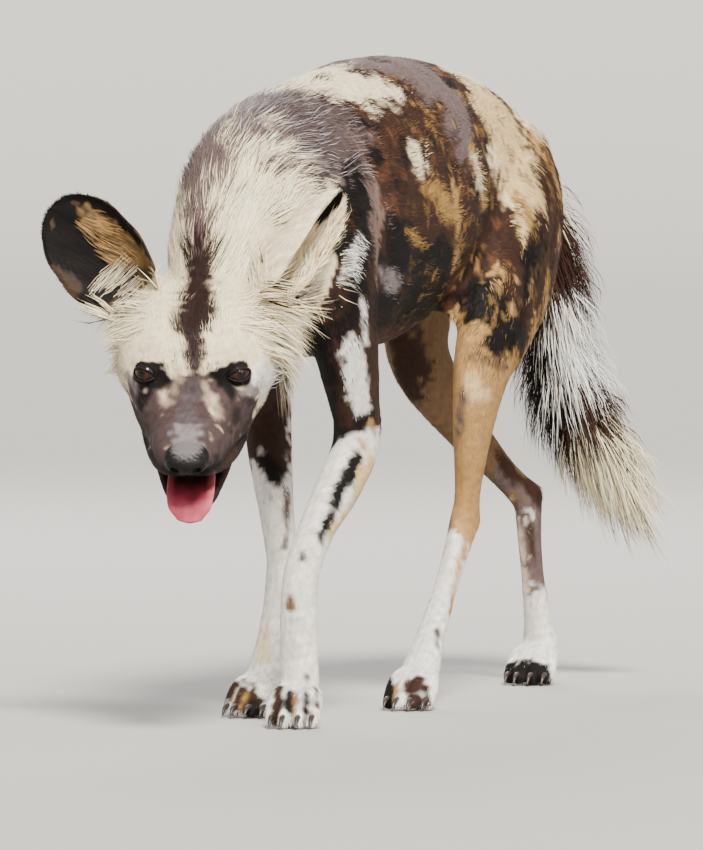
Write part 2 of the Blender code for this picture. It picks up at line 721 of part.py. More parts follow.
def make_ear(name, head):
    """A cup whose edges curl forward: an inner sheet and an outer one, joined round the rim."""
    base, axis, faces_to, spread = EARS[name]
    axis = axis.normalized()
    front = (faces_to - axis * faces_to.dot(axis)).normalized()
    across = axis.cross(front)
    turns = np.radians(np.linspace(-90, 90, 9))
    rings = []
    for share, wide, cup in EAR_PROFILE:
        half_width = EAR_HALF_WIDTH * wide
        middle = base + axis * EAR_LENGTH * share
        depth = half_width * (cup + (1 - spread))
        inner, outer = [], []
        for turn in turns:
            aside = across * half_width * spread * math.sin(turn)
            behind = front * depth * (0.35 - math.cos(turn))
            shell = (across * math.sin(turn) - front * math.cos(turn)) * EAR_THICKNESS
            inner.append(middle + aside + behind)
            outer.append(middle + aside + behind + shell)
        rings.append(np.array(inner + outer[::-1]))
    start = rings[0].mean(axis=0) - np.array(axis) * 0.004
    finish = np.array(base + axis * EAR_LENGTH * 1.0 - front * EAR_THICKNESS * 0.5)
    ear = new_object("ear_" + name, *closed_rings(rings, start, finish))
    return carved(ear, head)


# Long hair

def grown(tree, hub, outward, lie, size, share, chance):
    """One lock, as a list, whose root is sunk below the place where a ray towards hub meets the skin."""
    hit, normal, _, _ = tree.ray_cast(hub + outward * 0.4, -outward, 0.4)
    if hit is None:
        return []
    lie = lie.normalized()
    if abs(normal.dot(lie)) > 0.75:
        return []
    flow = (lie - normal * lie.dot(normal)).normalized()
    flow = (flow + normal.cross(flow) * chance.uniform(-0.22, 0.22)).normalized()
    length = size["length"] * share * chance.uniform(0.8, 1.0)
    lift = math.radians(size["lift"] * chance.uniform(0.75, 1.2))
    tip = hit + (flow * math.cos(lift) + normal * math.sin(lift)) * length
    root = hit - normal * ROOT_DEPTH - flow * ROOT_DEPTH
    width = size["width"] * chance.uniform(0.75, 1.0)
    return [lock(root, tip, normal * length * LOCK_BOW, normal, width, LOCK_THICKNESS)]


def skin_of(thing):
    return BVHTree.FromObject(thing, bpy.context.evaluated_depsgraph_get())


def clear_of(skins, shapes):
    """The locks that keep away from the given skins along their whole length."""
    kept = []
    for points, faces in shapes:
        near = [skin.find_nearest(Vector(point), LOCK_THICKNESS)[0] for skin in skins for point in points]
        if not any(near):
            kept.append((points, faces))
    return kept


def on_path(rows, share):
    """The centre of a tube and its direction at a share of its stations."""
    points = smooth_rows([row[:3] for row in rows], 8)
    place = share * (len(points) - 1)
    number = min(int(place), len(points) - 2)
    a, b = Vector(points[number]), Vector(points[number + 1])
    return a.lerp(b, place - number), (b - a).normalized()


def ruff_locks(neck):
    """Rows round the neck, which point back over the shoulders."""
    tree, chance, shapes = skin_of(neck), random.Random(SEED), []
    for row in range(RUFF["rows"]):
        hub, along = on_path(NECK, 0.27 + 0.10 * row)
        high = along.cross(Vector((1, 0, 0))) * -1
        for k in range(RUFF["locks"]):
            turn = math.radians(-125 + 250 * (k + 0.5 * (row % 2)) / (RUFF["locks"] - 0.5) + chance.uniform(-5, 5))
            outward = Vector((1, 0, 0)) * math.sin(turn) + high * math.cos(turn)
            share = 0.62 + 0.38 * abs(math.sin(turn))
            shapes += grown(tree, hub, outward, along, RUFF, share, chance)
    return shapes


def cheek_locks(head):
    """Locks that stand out behind the cheeks and below the ears."""
    tree, chance, shapes = skin_of(head), random.Random(SEED + 1), []
    for side in EYES.values():
        for row in range(CHEEK["rows"]):
            for k in range(CHEEK["locks"]):
                turn = math.radians(-48 + 68 * k / (CHEEK["locks"] - 1) + 8 * (row % 2))
                outward = LEFT * side * math.cos(turn) + UP * math.sin(turn)
                hub = in_head(-0.032 - 0.017 * row, 0, -0.018)
                lie = LEFT * side * 0.35 - FORWARD - UP * 0.25
                shapes += grown(tree, hub, outward, lie, CHEEK, 0.75 + 0.12 * row, chance)
    return shapes


def mane_locks(torso):
    """Bristles over the withers and between the shoulder blades."""
    tree, chance, shapes = skin_of(torso), random.Random(SEED + 2), []
    for row in range(MANE["rows"]):
        for k in range(MANE["locks"]):
            turn = math.radians(-56 + 112 * (k + 0.5 * (row % 2)) / (MANE["locks"] - 0.5))
            outward = Vector((math.sin(turn), 0, math.cos(turn)))
            hub = Vector((0, -0.022 + 0.034 * row, 0.52))
            shapes += grown(tree, hub, outward, Vector((0, 1, -0.1)), MANE, 1.0, chance)
    return shapes


def brush_locks(tail):
    """Rows of long locks from the middle of the tail to past its end."""
    tree, chance, shapes = skin_of(tail), random.Random(SEED + 3), []
    for row in range(BRUSH["rows"]):
        share = row / (BRUSH["rows"] - 1)
        hub, along = on_path(TAIL, 0.16 + 0.80 * share)
        aside = along.cross(Vector((1, 0, 0))).normalized()
        other = along.cross(aside)
        for k in range(BRUSH["locks"]):
            turn = math.radians(360 * (k + 0.5 * (row % 2)) / BRUSH["locks"] + chance.uniform(-9, 9))
            outward = aside * math.cos(turn) + other * math.sin(turn)
            lie = along + Vector((0, 0, -0.25))
            shapes += grown(tree, hub, outward, lie, BRUSH, 0.80 + 0.20 * math.sin(math.pi * share), chance)
    return shapes


make_body()
make_paws()
head = make_head(eye_places())
tongue = make_tongue()
carved(head, tongue)
nose = make_nose(head)
jaw = make_jaw(head, tongue)
ears = [make_ear(name, head) for name in EARS]
tail = new_object("tail", *tube(TAIL, sides=12, per_span=2))
torso, neck = bpy.data.objects["torso"], bpy.data.objects["neck"]
carved(tail, torso)
ear_skins = [skin_of(ear) for ear in ears]
joined(torso, mane_locks(torso))
joined(neck, clear_of(ear_skins, ruff_locks(neck)))
joined(head, clear_of(ear_skins, cheek_locks(head)))
joined(tail, brush_locks(tail))
for thing, others in ((neck, ears + [torso]), (head, ears + [neck, torso, jaw]), (tail, [torso])):
    for other in others:
        carved_locks(thing, other)

# Colour and roughness of each piece
LOOKS = {
    "torso": ((0.15, 0.10, 0.075), 0.85),
    "neck": ((0.62, 0.52, 0.36), 0.85),
    "head": ((0.66, 0.58, 0.42), 0.80),
    "jaw": ((0.040, 0.032, 0.030), 0.75),
    "nose": ((0.010, 0.010, 0.011), 0.35),
    "tongue": ((0.52, 0.12, 0.15), 0.35),
    "eye_left": ((0.10, 0.035, 0.012), 0.08),
    "eye_right": ((0.10, 0.035, 0.012), 0.08),
    "ear_left": ((0.60, 0.47, 0.26), 0.80),
    "ear_right": ((0.035, 0.026, 0.022), 0.80),
    "foreleg_left": ((0.72, 0.70, 0.66), 0.85),
    "foreleg_right": ((0.16, 0.10, 0.070), 0.85),
    "forepaw_left": ((0.40, 0.33, 0.28), 0.80),
    "forepaw_right": ((0.075, 0.055, 0.045), 0.80),
    "hindleg_left": ((0.48, 0.31, 0.14), 0.85),
    "hindleg_right": ((0.24, 0.15, 0.085), 0.85),
    "hindpaw_left": ((0.52, 0.45, 0.35), 0.80),
    "hindpaw_right": ((0.085, 0.065, 0.055), 0.80),
    "tail": ((0.40, 0.32, 0.25), 0.88),
}


def finish():
    """Gives each piece its material and moves the whole box to stand centred on the origin."""
    low, high = np.full(3, np.inf), np.full(3, -np.inf)
    for name in LOOKS:
        points = np.array([vertex.co[:] for vertex in bpy.data.objects[name].data.vertices])
        low, high = np.minimum(low, points.min(axis=0)), np.maximum(high, points.max(axis=0))
    shift = Vector((-(low[0] + high[0]) / 2, -(low[1] + high[1]) / 2, -low[2]))
    for name, (colour, roughness) in LOOKS.items():
        thing = bpy.data.objects[name]
        thing.data.transform(Matrix.Translation(shift))
        thing.data.name = name
        material = bpy.data.materials.new(name)
        material.use_nodes = True
        shader = material.node_tree.nodes["Principled BSDF"]
        shader.inputs["Base Color"].default_value = (*colour, 1)
        shader.inputs["Roughness"].default_value = roughness
        shader.inputs["Metallic"].default_value = 0.0
        thing.data.materials.clear()
        thing.data.materials.append(material)
        for polygon in thing.data.polygons:
            polygon.use_smooth = True


finish()
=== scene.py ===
import math

import bmesh
import bpy
import numpy as np
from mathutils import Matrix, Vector
from mathutils.bvhtree import BVHTree
from mathutils.kdtree import KDTree


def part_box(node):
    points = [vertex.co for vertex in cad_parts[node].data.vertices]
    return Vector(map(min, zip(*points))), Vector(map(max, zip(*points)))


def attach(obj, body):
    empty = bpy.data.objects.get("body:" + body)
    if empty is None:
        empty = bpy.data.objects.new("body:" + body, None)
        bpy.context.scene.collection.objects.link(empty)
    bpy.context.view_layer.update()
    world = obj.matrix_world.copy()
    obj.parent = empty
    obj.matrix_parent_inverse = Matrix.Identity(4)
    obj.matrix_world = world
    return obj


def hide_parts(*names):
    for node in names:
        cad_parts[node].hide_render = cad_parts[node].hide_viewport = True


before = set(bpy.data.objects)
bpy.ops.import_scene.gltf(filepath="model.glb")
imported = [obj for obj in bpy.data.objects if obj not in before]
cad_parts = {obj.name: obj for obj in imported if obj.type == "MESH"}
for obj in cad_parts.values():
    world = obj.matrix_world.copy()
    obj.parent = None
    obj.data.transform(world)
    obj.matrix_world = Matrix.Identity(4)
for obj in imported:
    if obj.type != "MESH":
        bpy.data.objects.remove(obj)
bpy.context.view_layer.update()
rng = np.random.default_rng(11)

# Head frame: forward along the skull, left across it and up through its crown, from between the eyes
head = {"at": (0.060, -0.270, 0.361), "pitch": 31, "yaw": 23.5}


def normed(v):
    return v / np.maximum(np.linalg.norm(v, axis=-1, keepdims=True), 1e-12)


def headAxes():
    yaw, pitch = math.radians(head["yaw"]), math.radians(head["pitch"])
    forward = np.array([math.sin(yaw) * math.cos(pitch), -math.cos(yaw) * math.cos(pitch), -math.sin(pitch)])
    left = np.array([math.cos(yaw), math.sin(yaw), 0])
    return np.array([forward, left, np.cross(forward, left)])


axes = headAxes()


def fromHead(places):
    return np.array(head["at"]) + np.asarray(places, float) @ axes


def toHead(points):
    return (points - np.array(head["at"])) @ axes.T


# ---- surfaces worked out with numpy

def smoothRows(rows, perSpan):
    # Catmull-Rom: each span is a cubic in t through its two middle rows, with the slopes of their neighbours
    rows = np.asarray(rows, float)
    ends = np.vstack([2 * rows[0] - rows[1], rows, 2 * rows[-1] - rows[-2]])
    t = np.linspace(0, 1, perSpan, endpoint=False)[None, :, None]
    a, b, c, d = (ends[i:len(ends) - 3 + i, None, :] for i in range(4))
    curve = 0.5 * (2 * b + (c - a) * t + (2 * a - 5 * b + 4 * c - d) * t**2 + (3 * b - a - 3 * c + d) * t**3)
    return np.vstack([curve.reshape(-1, rows.shape[1]), rows[-1:]])


def between(rows, after):
    # Two triangles to each cell between rows of point numbers and the rows after them, closed sideways
    a, b, c, d = rows, np.roll(rows, -1, 1), after, np.roll(after, -1, 1)
    return np.vstack([np.stack([a, c, d], -1).reshape(-1, 3), np.stack([a, d, b], -1).reshape(-1, 3)])


def closedRings(rings, first, last):
    # Triangles between neighbours on a grid of rings, and a fan from the point at each end
    count, sides = rings.shape[:2]
    number = np.arange(count * sides).reshape(count, sides)
    pole = np.full(sides, count * sides)
    faces = [between(number[:-1], number[1:]), np.stack([pole, number[0], np.roll(number[0], -1)], -1),
             np.stack([pole + 1, np.roll(number[-1], -1), number[-1]], -1)]
    return np.vstack([rings.reshape(-1, 3), first, last]), np.vstack(faces)


def closedTube(rows, across=(1, 0, 0), sides=28, perSpan=5, capRings=4, square=2.0, inset=0.0, least=0.0015):
    # Superellipse rings |x/a|^n + |z/b|^n = 1 at right angles to a curve through rows of x, y, z, a, b, with
    # round ends
    rows = smoothRows(rows, perSpan)
    centre, half = rows[:, :3], np.maximum(np.abs(rows[:, 3:5]) - inset, least)
    along = normed(np.gradient(centre, axis=0))
    across = np.asarray(across, float)
    side = normed(across - along * (along @ across)[:, None])
    high = np.cross(side, along)
    bulge = np.linspace(0, math.pi / 2, capRings, endpoint=False)[1:]
    which = np.r_[np.zeros(len(bulge), int), np.arange(len(rows)), np.full(len(bulge), len(rows) - 1)]
    scale = np.r_[np.cos(bulge[::-1]), np.ones(len(rows)), np.cos(bulge)]
    push = np.r_[-np.sin(bulge[::-1]), np.zeros(len(rows)), np.sin(bulge)]
    angle = np.linspace(0, 2 * math.pi, sides, endpoint=False)
    aside = np.sign(np.cos(angle)) * np.abs(np.cos(angle)) ** (2 / square)
    above = np.sign(np.sin(angle)) * np.abs(np.sin(angle)) ** (2 / square)
    hub = centre[which] + along[which] * (push * half[which].min(1))[:, None]
    wide = (half[which, 0] * scale)[:, None] * aside
    tall = (half[which, 1] * scale)[:, None] * above
    rings = hub[:, None] + side[which][:, None] * wide[..., None] + high[which][:, None] * tall[..., None]
    return closedRings(rings, centre[0] - along[0] * half[0].min(), centre[-1] + along[-1] * half[-1].min())


# The tongue is the same in the solids, so it tells where the ground below the withers lies in the frame
tongueRows = [
    (0.030, -0.074, 0.020, 0.0050),
    (0.060, -0.085, 0.023, 0.0050),
    (0.084, -0.092, 0.0255, 0.0048),
    (0.098, -0.096, 0.0260, 0.0042),
    (0.107, -0.102, 0.0230, 0.0038),
    (0.111, -0.109, 0.0150, 0.0032),
]


def tongueTube(sides, perSpan, capRings):
    rows = [(*fromHead((forward, 0, up)), wide, thick) for forward, up, wide, thick in tongueRows]
    return closedTube(rows, across=axes[1], sides=sides, perSpan=perSpan, capRings=capRings)


shift = np.array(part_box("tongue")[0]) - tongueTube(10, 1, 3)[0].min(0)
shift[2] = 0


# ---- meshes and objects

def meshObject(name, points, faces, moved=True):
    mesh = bpy.data.meshes.new(name)
    points = np.asarray(points, float) + (shift if moved else 0)
    count, sides = faces.shape
    mesh.vertices.add(len(points))
    mesh.vertices.foreach_set("co", points.astype(np.float32).ravel())
    mesh.loops.add(count * sides)
    mesh.loops.foreach_set("vertex_index", faces.astype(np.int32).ravel())
    mesh.polygons.add(count)
    mesh.polygons.foreach_set("loop_start", np.arange(0, count * sides, sides, dtype=np.int32))
    mesh.polygons.foreach_set("use_smooth", np.ones(count, bool))
    mesh.update(calc_edges=True)
    thing = bpy.data.objects.new(name, mesh)
    bpy.context.scene.collection.objects.link(thing)
    return thing


def pointsOf(mesh):
    points = np.empty(len(mesh.vertices) * 3, np.float32)
    mesh.vertices.foreach_get("co", points)
    return points.reshape(-1, 3).astype(float)


def trianglesOf(mesh):
    mesh.calc_loop_triangles()
    faces = np.empty(len(mesh.loop_triangles) * 3, np.int32)
    mesh.loop_triangles.foreach_get("vertices", faces)
    return faces.reshape(-1, 3)


def setPoints(mesh, points):
    mesh.vertices.foreach_set("co", points.astype(np.float32).ravel())
    mesh.update()


def applied(thing):
    # The object's mesh becomes what its modifiers make of it
    graph = bpy.context.evaluated_depsgraph_get()
    graph.update()
    thing.data = bpy.data.meshes.new_from_object(thing.evaluated_get(graph))
    thing.modifiers.clear()
    return thing


def relax(mesh, rounds):
    # Each point moves a share of the way to the mean of its neighbours, then slightly more than that back
    points = pointsOf(mesh)
    ends = np.empty(len(mesh.edges) * 2, np.int32)
    mesh.edges.foreach_get("vertices", ends)
    ends = ends.reshape(-1, 2)
    count = np.bincount(ends.ravel(), minlength=len(points))[:, None]
    for step in [0.55, -0.57] * rounds:
        total = np.stack([np.bincount(ends[:, 0], points[ends[:, 1], k], len(points))
                          + np.bincount(ends[:, 1], points[ends[:, 0], k], len(points)) for k in range(3)], 1)
        points = points + step * (total / count - points)
    setPoints(mesh, points)


def remeshed(thing, voxel):
    modifier = thing.modifiers.new("join", "REMESH")
    modifier.mode = "VOXEL"
    modifier.voxel_size = voxel
    return applied(thing)


def joined(shapes):
    # Several shapes as one list of points and one of faces
    start = np.cumsum([0] + [len(points) for points, _ in shapes])
    return (np.vstack([points for points, _ in shapes]),
            np.vstack([faces + start[k] for k, (_, faces) in enumerate(shapes)]))


def fuse(name, shapes, voxel, rounds):
    # One closed surface round overlapping closed shapes
    thing = remeshed(meshObject(name, *joined(shapes), moved=False), voxel)
    relax(thing.data, rounds)
    return thing


def fillCreases(thing, radius, voxel):
    # Swelling by the radius, joining and shrinking back leaves a round fillet in each crease
    for strength in (radius, -radius):
        swell = thing.modifiers.new("swell", "DISPLACE")
        swell.strength, swell.mid_level = strength, 0
        remeshed(thing, voxel)
    return thing


def shapeOf(thing):
    points, faces = pointsOf(thing.data), trianglesOf(thing.data)
    bpy.data.objects.remove(thing)
    return points, faces


def unite(thing, other):
    union = thing.modifiers.new("union", "BOOLEAN")
    union.operation, union.solver, union.object = "UNION", "MANIFOLD", other
    applied(thing)
    bpy.data.objects.remove(other)
    return thing


# ---- the body's own sizes: rows of x, y, z, half width and half depth, as in the solids, out to the coat

trunkRows = [(0, y, (top + low) / 2, halfWidth, (top - low) / 2) for y, top, low, halfWidth in (
    (-0.100, 0.545, 0.435, 0.046),
    (-0.060, 0.605, 0.395, 0.072),
    (0.000, 0.634, 0.365, 0.088),
    (0.060, 0.644, 0.356, 0.096),
    (0.130, 0.660, 0.357, 0.100),
    (0.200, 0.672, 0.364, 0.101),
    (0.280, 0.676, 0.388, 0.096),
    (0.350, 0.669, 0.416, 0.086),
    (0.420, 0.653, 0.440, 0.081),
    (0.490, 0.627, 0.466, 0.072),
    (0.528, 0.604, 0.496, 0.056),
    (0.552, 0.586, 0.520, 0.040))]
neckRows = [
    (0.041, -0.206, 0.402, 0.050, 0.054),
    (0.038, -0.162, 0.433, 0.063, 0.072),
    (0.028, -0.105, 0.470, 0.074, 0.092),
    (0.012, -0.045, 0.502, 0.082, 0.110),
    (0.000, 0.030, 0.522, 0.088, 0.114),
]
shoulderLeft = [
    (0.045, 0.050, 0.590, 0.030, 0.040),
    (0.061, 0.030, 0.530, 0.037, 0.064),
    (0.070, 0.010, 0.460, 0.038, 0.066),
    (0.072, 0.026, 0.390, 0.034, 0.054),
    (0.070, 0.045, 0.340, 0.030, 0.042),
    (0.068, 0.062, 0.300, 0.026, 0.034),
]
forelegLeft = [
    (0.068, 0.062, 0.303, 0.026, 0.034),
    (0.066, 0.058, 0.270, 0.025, 0.031),
    (0.063, 0.026, 0.232, 0.025, 0.028),
    (0.060, -0.012, 0.194, 0.0215, 0.0225),
    (0.057, -0.038, 0.152, 0.0215, 0.0220),
    (0.057, -0.044, 0.112, 0.0225, 0.0200),
    (0.058, -0.045, 0.072, 0.0230, 0.0185),
    (0.059, -0.046, 0.042, 0.0240, 0.0190),
]
shoulderRight = [
    (-0.045, 0.050, 0.590, 0.030, 0.040),
    (-0.062, 0.035, 0.530, 0.037, 0.064),
    (-0.073, 0.025, 0.460, 0.038, 0.066),
    (-0.076, 0.060, 0.395, 0.035, 0.060),
    (-0.073, 0.108, 0.335, 0.029, 0.044),
    (-0.070, 0.128, 0.310, 0.025, 0.034),
]
forelegRight = [
    (-0.070, 0.126, 0.312, 0.027, 0.034),
    (-0.063, 0.121, 0.262, 0.025, 0.029),
    (-0.052, 0.114, 0.205, 0.021, 0.023),
    (-0.044, 0.110, 0.158, 0.019, 0.020),
    (-0.042, 0.108, 0.134, 0.021, 0.021),
    (-0.043, 0.096, 0.100, 0.018, 0.017),
    (-0.043, 0.084, 0.070, 0.019, 0.017),
    (-0.044, 0.074, 0.042, 0.024, 0.019),
]
thighLeft = [
    (0.044, 0.465, 0.575, 0.034, 0.062),
    (0.058, 0.450, 0.520, 0.038, 0.084),
    (0.068, 0.410, 0.455, 0.039, 0.082),
    (0.075, 0.358, 0.395, 0.036, 0.064),
    (0.074, 0.328, 0.345, 0.031, 0.047),
    (0.063, 0.330, 0.285, 0.024, 0.034),
    (0.051, 0.342, 0.225, 0.018, 0.024),
    (0.044, 0.350, 0.190, 0.017, 0.025),
]
hindlegLeft = [
    (0.044, 0.352, 0.194, 0.0165, 0.0250),
    (0.043, 0.326, 0.150, 0.0150, 0.0180),
    (0.044, 0.294, 0.105, 0.0150, 0.0160),
    (0.046, 0.262, 0.066, 0.0180, 0.0170),
    (0.047, 0.244, 0.042, 0.0230, 0.0190),
]
thighRight = [
    (-0.044, 0.465, 0.575, 0.034, 0.062),
    (-0.058, 0.468, 0.520, 0.038, 0.082),
    (-0.072, 0.474, 0.455, 0.039, 0.078),
    (-0.081, 0.482, 0.395, 0.036, 0.062),
    (-0.080, 0.494, 0.345, 0.031, 0.048),
    (-0.062, 0.542, 0.285, 0.024, 0.034),
    (-0.041, 0.596, 0.232, 0.018, 0.024),
    (-0.027, 0.630, 0.202, 0.017, 0.024),
]
hindlegRight = [
    (-0.026, 0.636, 0.204, 0.0165, 0.0245),
    (-0.024, 0.636, 0.155, 0.0150, 0.0180),
    (-0.023, 0.644, 0.105, 0.0150, 0.0160),
    (-0.022, 0.653, 0.066, 0.0180, 0.0170),
    (-0.022, 0.659, 0.042, 0.0230, 0.0190),
]
tailRows = [
    (0.000, 0.562, 0.556, 0.026, 0.026),
    (-0.001, 0.600, 0.532, 0.024, 0.024),
    (-0.002, 0.628, 0.470, 0.023, 0.023),
    (-0.001, 0.640, 0.400, 0.023, 0.023),
    (0.006, 0.656, 0.335, 0.023, 0.023),
    (0.020, 0.680, 0.282, 0.021, 0.021),
    (0.035, 0.706, 0.237, 0.018, 0.018),
    (0.047, 0.728, 0.205, 0.011, 0.011),
]
# Forward, top, bottom and half width in the head's frame
skullRows = [
    (0.094, -0.025, -0.056, 0.029),
    (0.082, -0.018, -0.060, 0.036),
    (0.058, -0.014, -0.064, 0.043),
    (0.034, -0.009, -0.066, 0.050),
    (0.012, 0.003, -0.068, 0.060),
    (-0.012, 0.027, -0.069, 0.073),
    (-0.040, 0.044, -0.068, 0.081),
    (-0.072, 0.050, -0.063, 0.077),
    (-0.104, 0.042, -0.050, 0.062),
]
jawRows = [
    (0.077, -0.100, -0.114, 0.022),
    (0.060, -0.092, -0.115, 0.028),
    (0.030, -0.079, -0.111, 0.034),
    (0.000, -0.066, -0.104, 0.041),
    (-0.030, -0.054, -0.089, 0.043),
    (-0.056, -0.046, -0.073, 0.038),
]
# Forward, left, up and radius along the fleshy side of the muzzle, and of the lips from their middle to the
# left corner
flewRows = [
    (0.086, 0.015, -0.049, 0.0115),
    (0.064, 0.024, -0.053, 0.0135),
    (0.034, 0.031, -0.054, 0.0165),
    (0.004, 0.040, -0.050, 0.0200),
    (-0.030, 0.048, -0.046, 0.0220),
]
upperLip = [
    (0.097, 0.000, -0.056, 0.0045),
    (0.092, 0.015, -0.059, 0.0050),
    (0.078, 0.027, -0.064, 0.0056),
    (0.054, 0.036, -0.069, 0.0062),
    (0.028, 0.043, -0.071, 0.0060),
    (0.004, 0.050, -0.064, 0.0050),
]
lowerLip = [
    (0.087, 0.000, -0.101, 0.0042),
    (0.080, 0.018, -0.099, 0.0045),
    (0.058, 0.028, -0.090, 0.0048),
    (0.030, 0.036, -0.078, 0.0050),
    (0.008, 0.042, -0.068, 0.0050),
]


def headRows(table):
    return [(*fromHead((forward, 0, (top + low) / 2)), halfWidth, (top - low) / 2)
            for forward, top, low, halfWidth in table]


# The hair at the start, middle and end of a path: its length, width, lift in degrees and layers on the skin
hairAlong = {
    "trunk": ((0.020, 0.0012, 13, 2.4), (0.018, 0.0011, 11, 2.4), (0.018, 0.0011, 12, 2.4)),
    "neck": ((0.021, 0.0012, 13, 2.6), (0.028, 0.0013, 12, 2.8), (0.026, 0.0012, 12, 2.6)),
    "shoulder": ((0.019, 0.0012, 12, 2.2), (0.014, 0.0011, 10, 2.0), (0.011, 0.0010, 10, 1.8)),
    "foreleg": ((0.0105, 0.0010, 11, 1.5), (0.0085, 0.0009, 10, 1.4), (0.0075, 0.0009, 9, 1.4)),
    "thigh": ((0.018, 0.0012, 12, 2.2), (0.013, 0.0011, 10, 2.0), (0.0095, 0.0010, 9, 1.8)),
    "hindleg": ((0.0095, 0.0010, 9, 1.5), (0.0078, 0.0009, 9, 1.4), (0.007, 0.0009, 9, 1.4)),
    "tail": ((0.034, 0.0014, 28, 4.2), (0.056, 0.0014, 30, 6.0), (0.062, 0.0014, 24, 7.0)),
    "skull": ((0.0036, 0.0008, 11, 1.6), (0.0085, 0.0009, 12, 1.9), (0.020, 0.0012, 14, 2.4)),
    "jaw": ((0.0038, 0.0008, 11, 1.6), (0.007, 0.0010, 12, 1.7), (0.015, 0.0012, 13, 1.9)),
}
# Every path that the coat follows: its rows, how far the skin lies below the solids, the tint below its
# marks, its hair and the group of the coat that it grows
paths = {name: {"rows": rows, "inset": inset, "ground": ground, "hair": hairAlong[hair], "group": group}
         for name, rows, inset, ground, hair, group in (
             ("trunk", trunkRows, 0.0070, "brown", "trunk", "trunk"),
             ("neck", neckRows, 0.0040, "cream", "neck", "neck"),
             ("shoulderLeft", shoulderLeft, 0.0050, "brown", "shoulder", "forelegs"),
             ("forelegLeft", forelegLeft, 0.0032, "white", "foreleg", "forelegs"),
             ("shoulderRight", shoulderRight, 0.0050, "brown", "shoulder", "forelegs"),
             ("forelegRight", forelegRight, 0.0032, "white", "foreleg", "forelegs"),
             ("thighLeft", thighLeft, 0.0050, "tan", "thigh", "hindlegs"),
             ("hindlegLeft", hindlegLeft, 0.0026, "white", "hindleg", "hindlegs"),
             ("thighRight", thighRight, 0.0050, "tanBrown", "thigh", "hindlegs"),
             ("hindlegRight", hindlegRight, 0.0026, "white", "hindleg", "hindlegs"),
             ("tail", tailRows, 0.0080, "cream", "tail", "tail"),
             ("skull", headRows(skullRows), 0.0026, "cream", "skull", "head"),
             ("jaw", headRows(jawRows), 0.0020, "darkGrey", "jaw", "head"))}
paws = {
    "forepawLeft": {"leg": "forelegLeft", "turn": 18},
    "forepawRight": {"leg": "forelegRight", "turn": 4},
    "hindpawLeft": {"leg": "hindlegLeft", "turn": 8},
    "hindpawRight": {"leg": "hindlegRight", "turn": 8},
}
toes = {
    "places": ((-0.0200, 0.038), (-0.0075, 0.047), (0.0075, 0.047), (0.0200, 0.038)),    # offset and reach
    # Share of the offset and of the reach, height and radius along each toe, from the fetlock to the tip
    "rows": ((0.45, 0.00, 0.036, 0.0108), (0.85, 0.42, 0.0315, 0.0086), (1.00, 0.66, 0.0225, 0.0080),
             (1.02, 0.88, 0.0130, 0.0076), (1.02, 1.00, 0.0078, 0.0070)),
    "start": 0.004,                      # how far ahead of the fetlock they begin
    # Behind the fetlock, height and half width along the heel pad
    "heel": ((0.013, 0.0215, 0.012), (0.000, 0.0135, 0.0165), (-0.018, 0.0125, 0.0165)),
}
eyes = {
    "radius": 0.0116,
    "lid": 0.0012,                       # skin over the eyeball
    "halfWidth": 0.0116,
    "halfHeight": 0.0060,
    "power": 1.6,                        # of the almond |h / a|^p + |v / b|^p = 1 between the lids
    "slant": 10,                         # degrees that the outer corner stands above the inner one
    "full": 0.0105,                      # how far out the lids keep their full shape
    "reach": 0.020,                      # and how far it runs out into the face
    "sunk": 0.0022,                      # how far the skin behind the eyeball's front lies below it
}
skinSizes = {"bodyVoxel": 0.0046, "headVoxel": 0.0025, "fleshVoxel": 0.0026, "pawVoxel": 0.0027,
             "bodyCrease": 0.013, "headCrease": 0.014}


def sideTubes(table, **kw):
    # Both sides of the head, as round tubes
    return [closedTube([(*fromHead((f, left * side, u)), r, r) for f, left, u, r in table],
                       across=axes[2], **kw) for side in (1, -1)]


def lipTube(table, inset):
    rows = [(f, -left, u, r) for f, left, u, r in table[:0:-1]] + list(table)
    rows = [(*fromHead((f, left, u)), r, r) for f, left, u, r in rows]
    return closedTube(rows, across=axes[2], sides=14, perSpan=5, inset=inset)


def turned(rows, fetlock, turn):
    # Rows of a paw that points straight ahead, turned about the fetlock towards the dog's left
    rows = np.asarray(rows, float)
    aside, ahead = rows[:, 0] - fetlock[0], fetlock[1] - rows[:, 1]
    placed = rows.copy()
    placed[:, 0] = fetlock[0] + aside * math.cos(turn) + ahead * math.sin(turn)
    placed[:, 1] = fetlock[1] + aside * math.sin(turn) - ahead * math.cos(turn)
    return placed


def pawTubes(fetlock, turn):
    # Four arched toes with knuckles, the pad between them and the heel
    tubes, across = [], (math.cos(turn), math.sin(turn), 0)
    for offset, reach in toes["places"]:
        rows = [(fetlock[0] + offset * share, fetlock[1] - reach * ahead - toes["start"], height, radius,
                 radius) for share, ahead, height, radius in toes["rows"]]
        tubes.append(closedTube(turned(rows, fetlock, turn), across=across, sides=16, perSpan=4))
    heel = [(fetlock[0], fetlock[1] + behind, height, wide, 0.0125) for behind, height, wide in toes["heel"]]
    tubes.append(closedTube(turned(heel, fetlock, turn), across=across, sides=18))
    return tubes


def eyePlace(side):
    # The eye's centre, where it looks, and the directions of its outer corner and of its upper lid
    low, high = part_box("eye_" + side)
    centre = (np.array(low) + np.array(high)) / 2 - shift
    sign = 1 if side == "left" else -1
    gaze = normed(axes[0] * 0.84 + axes[1] * sign * 0.40 + axes[2] * 0.36)
    across = normed(axes[1] * sign - gaze * (axes[1] @ gaze) * sign)      # towards the outer corner
    high = np.cross(gaze, across) * sign
    high = high * np.sign(high @ axes[2])
    turn = math.radians(eyes["slant"])
    return (centre, gaze, across * math.cos(turn) + high * math.sin(turn),
            high * math.cos(turn) - across * math.sin(turn))


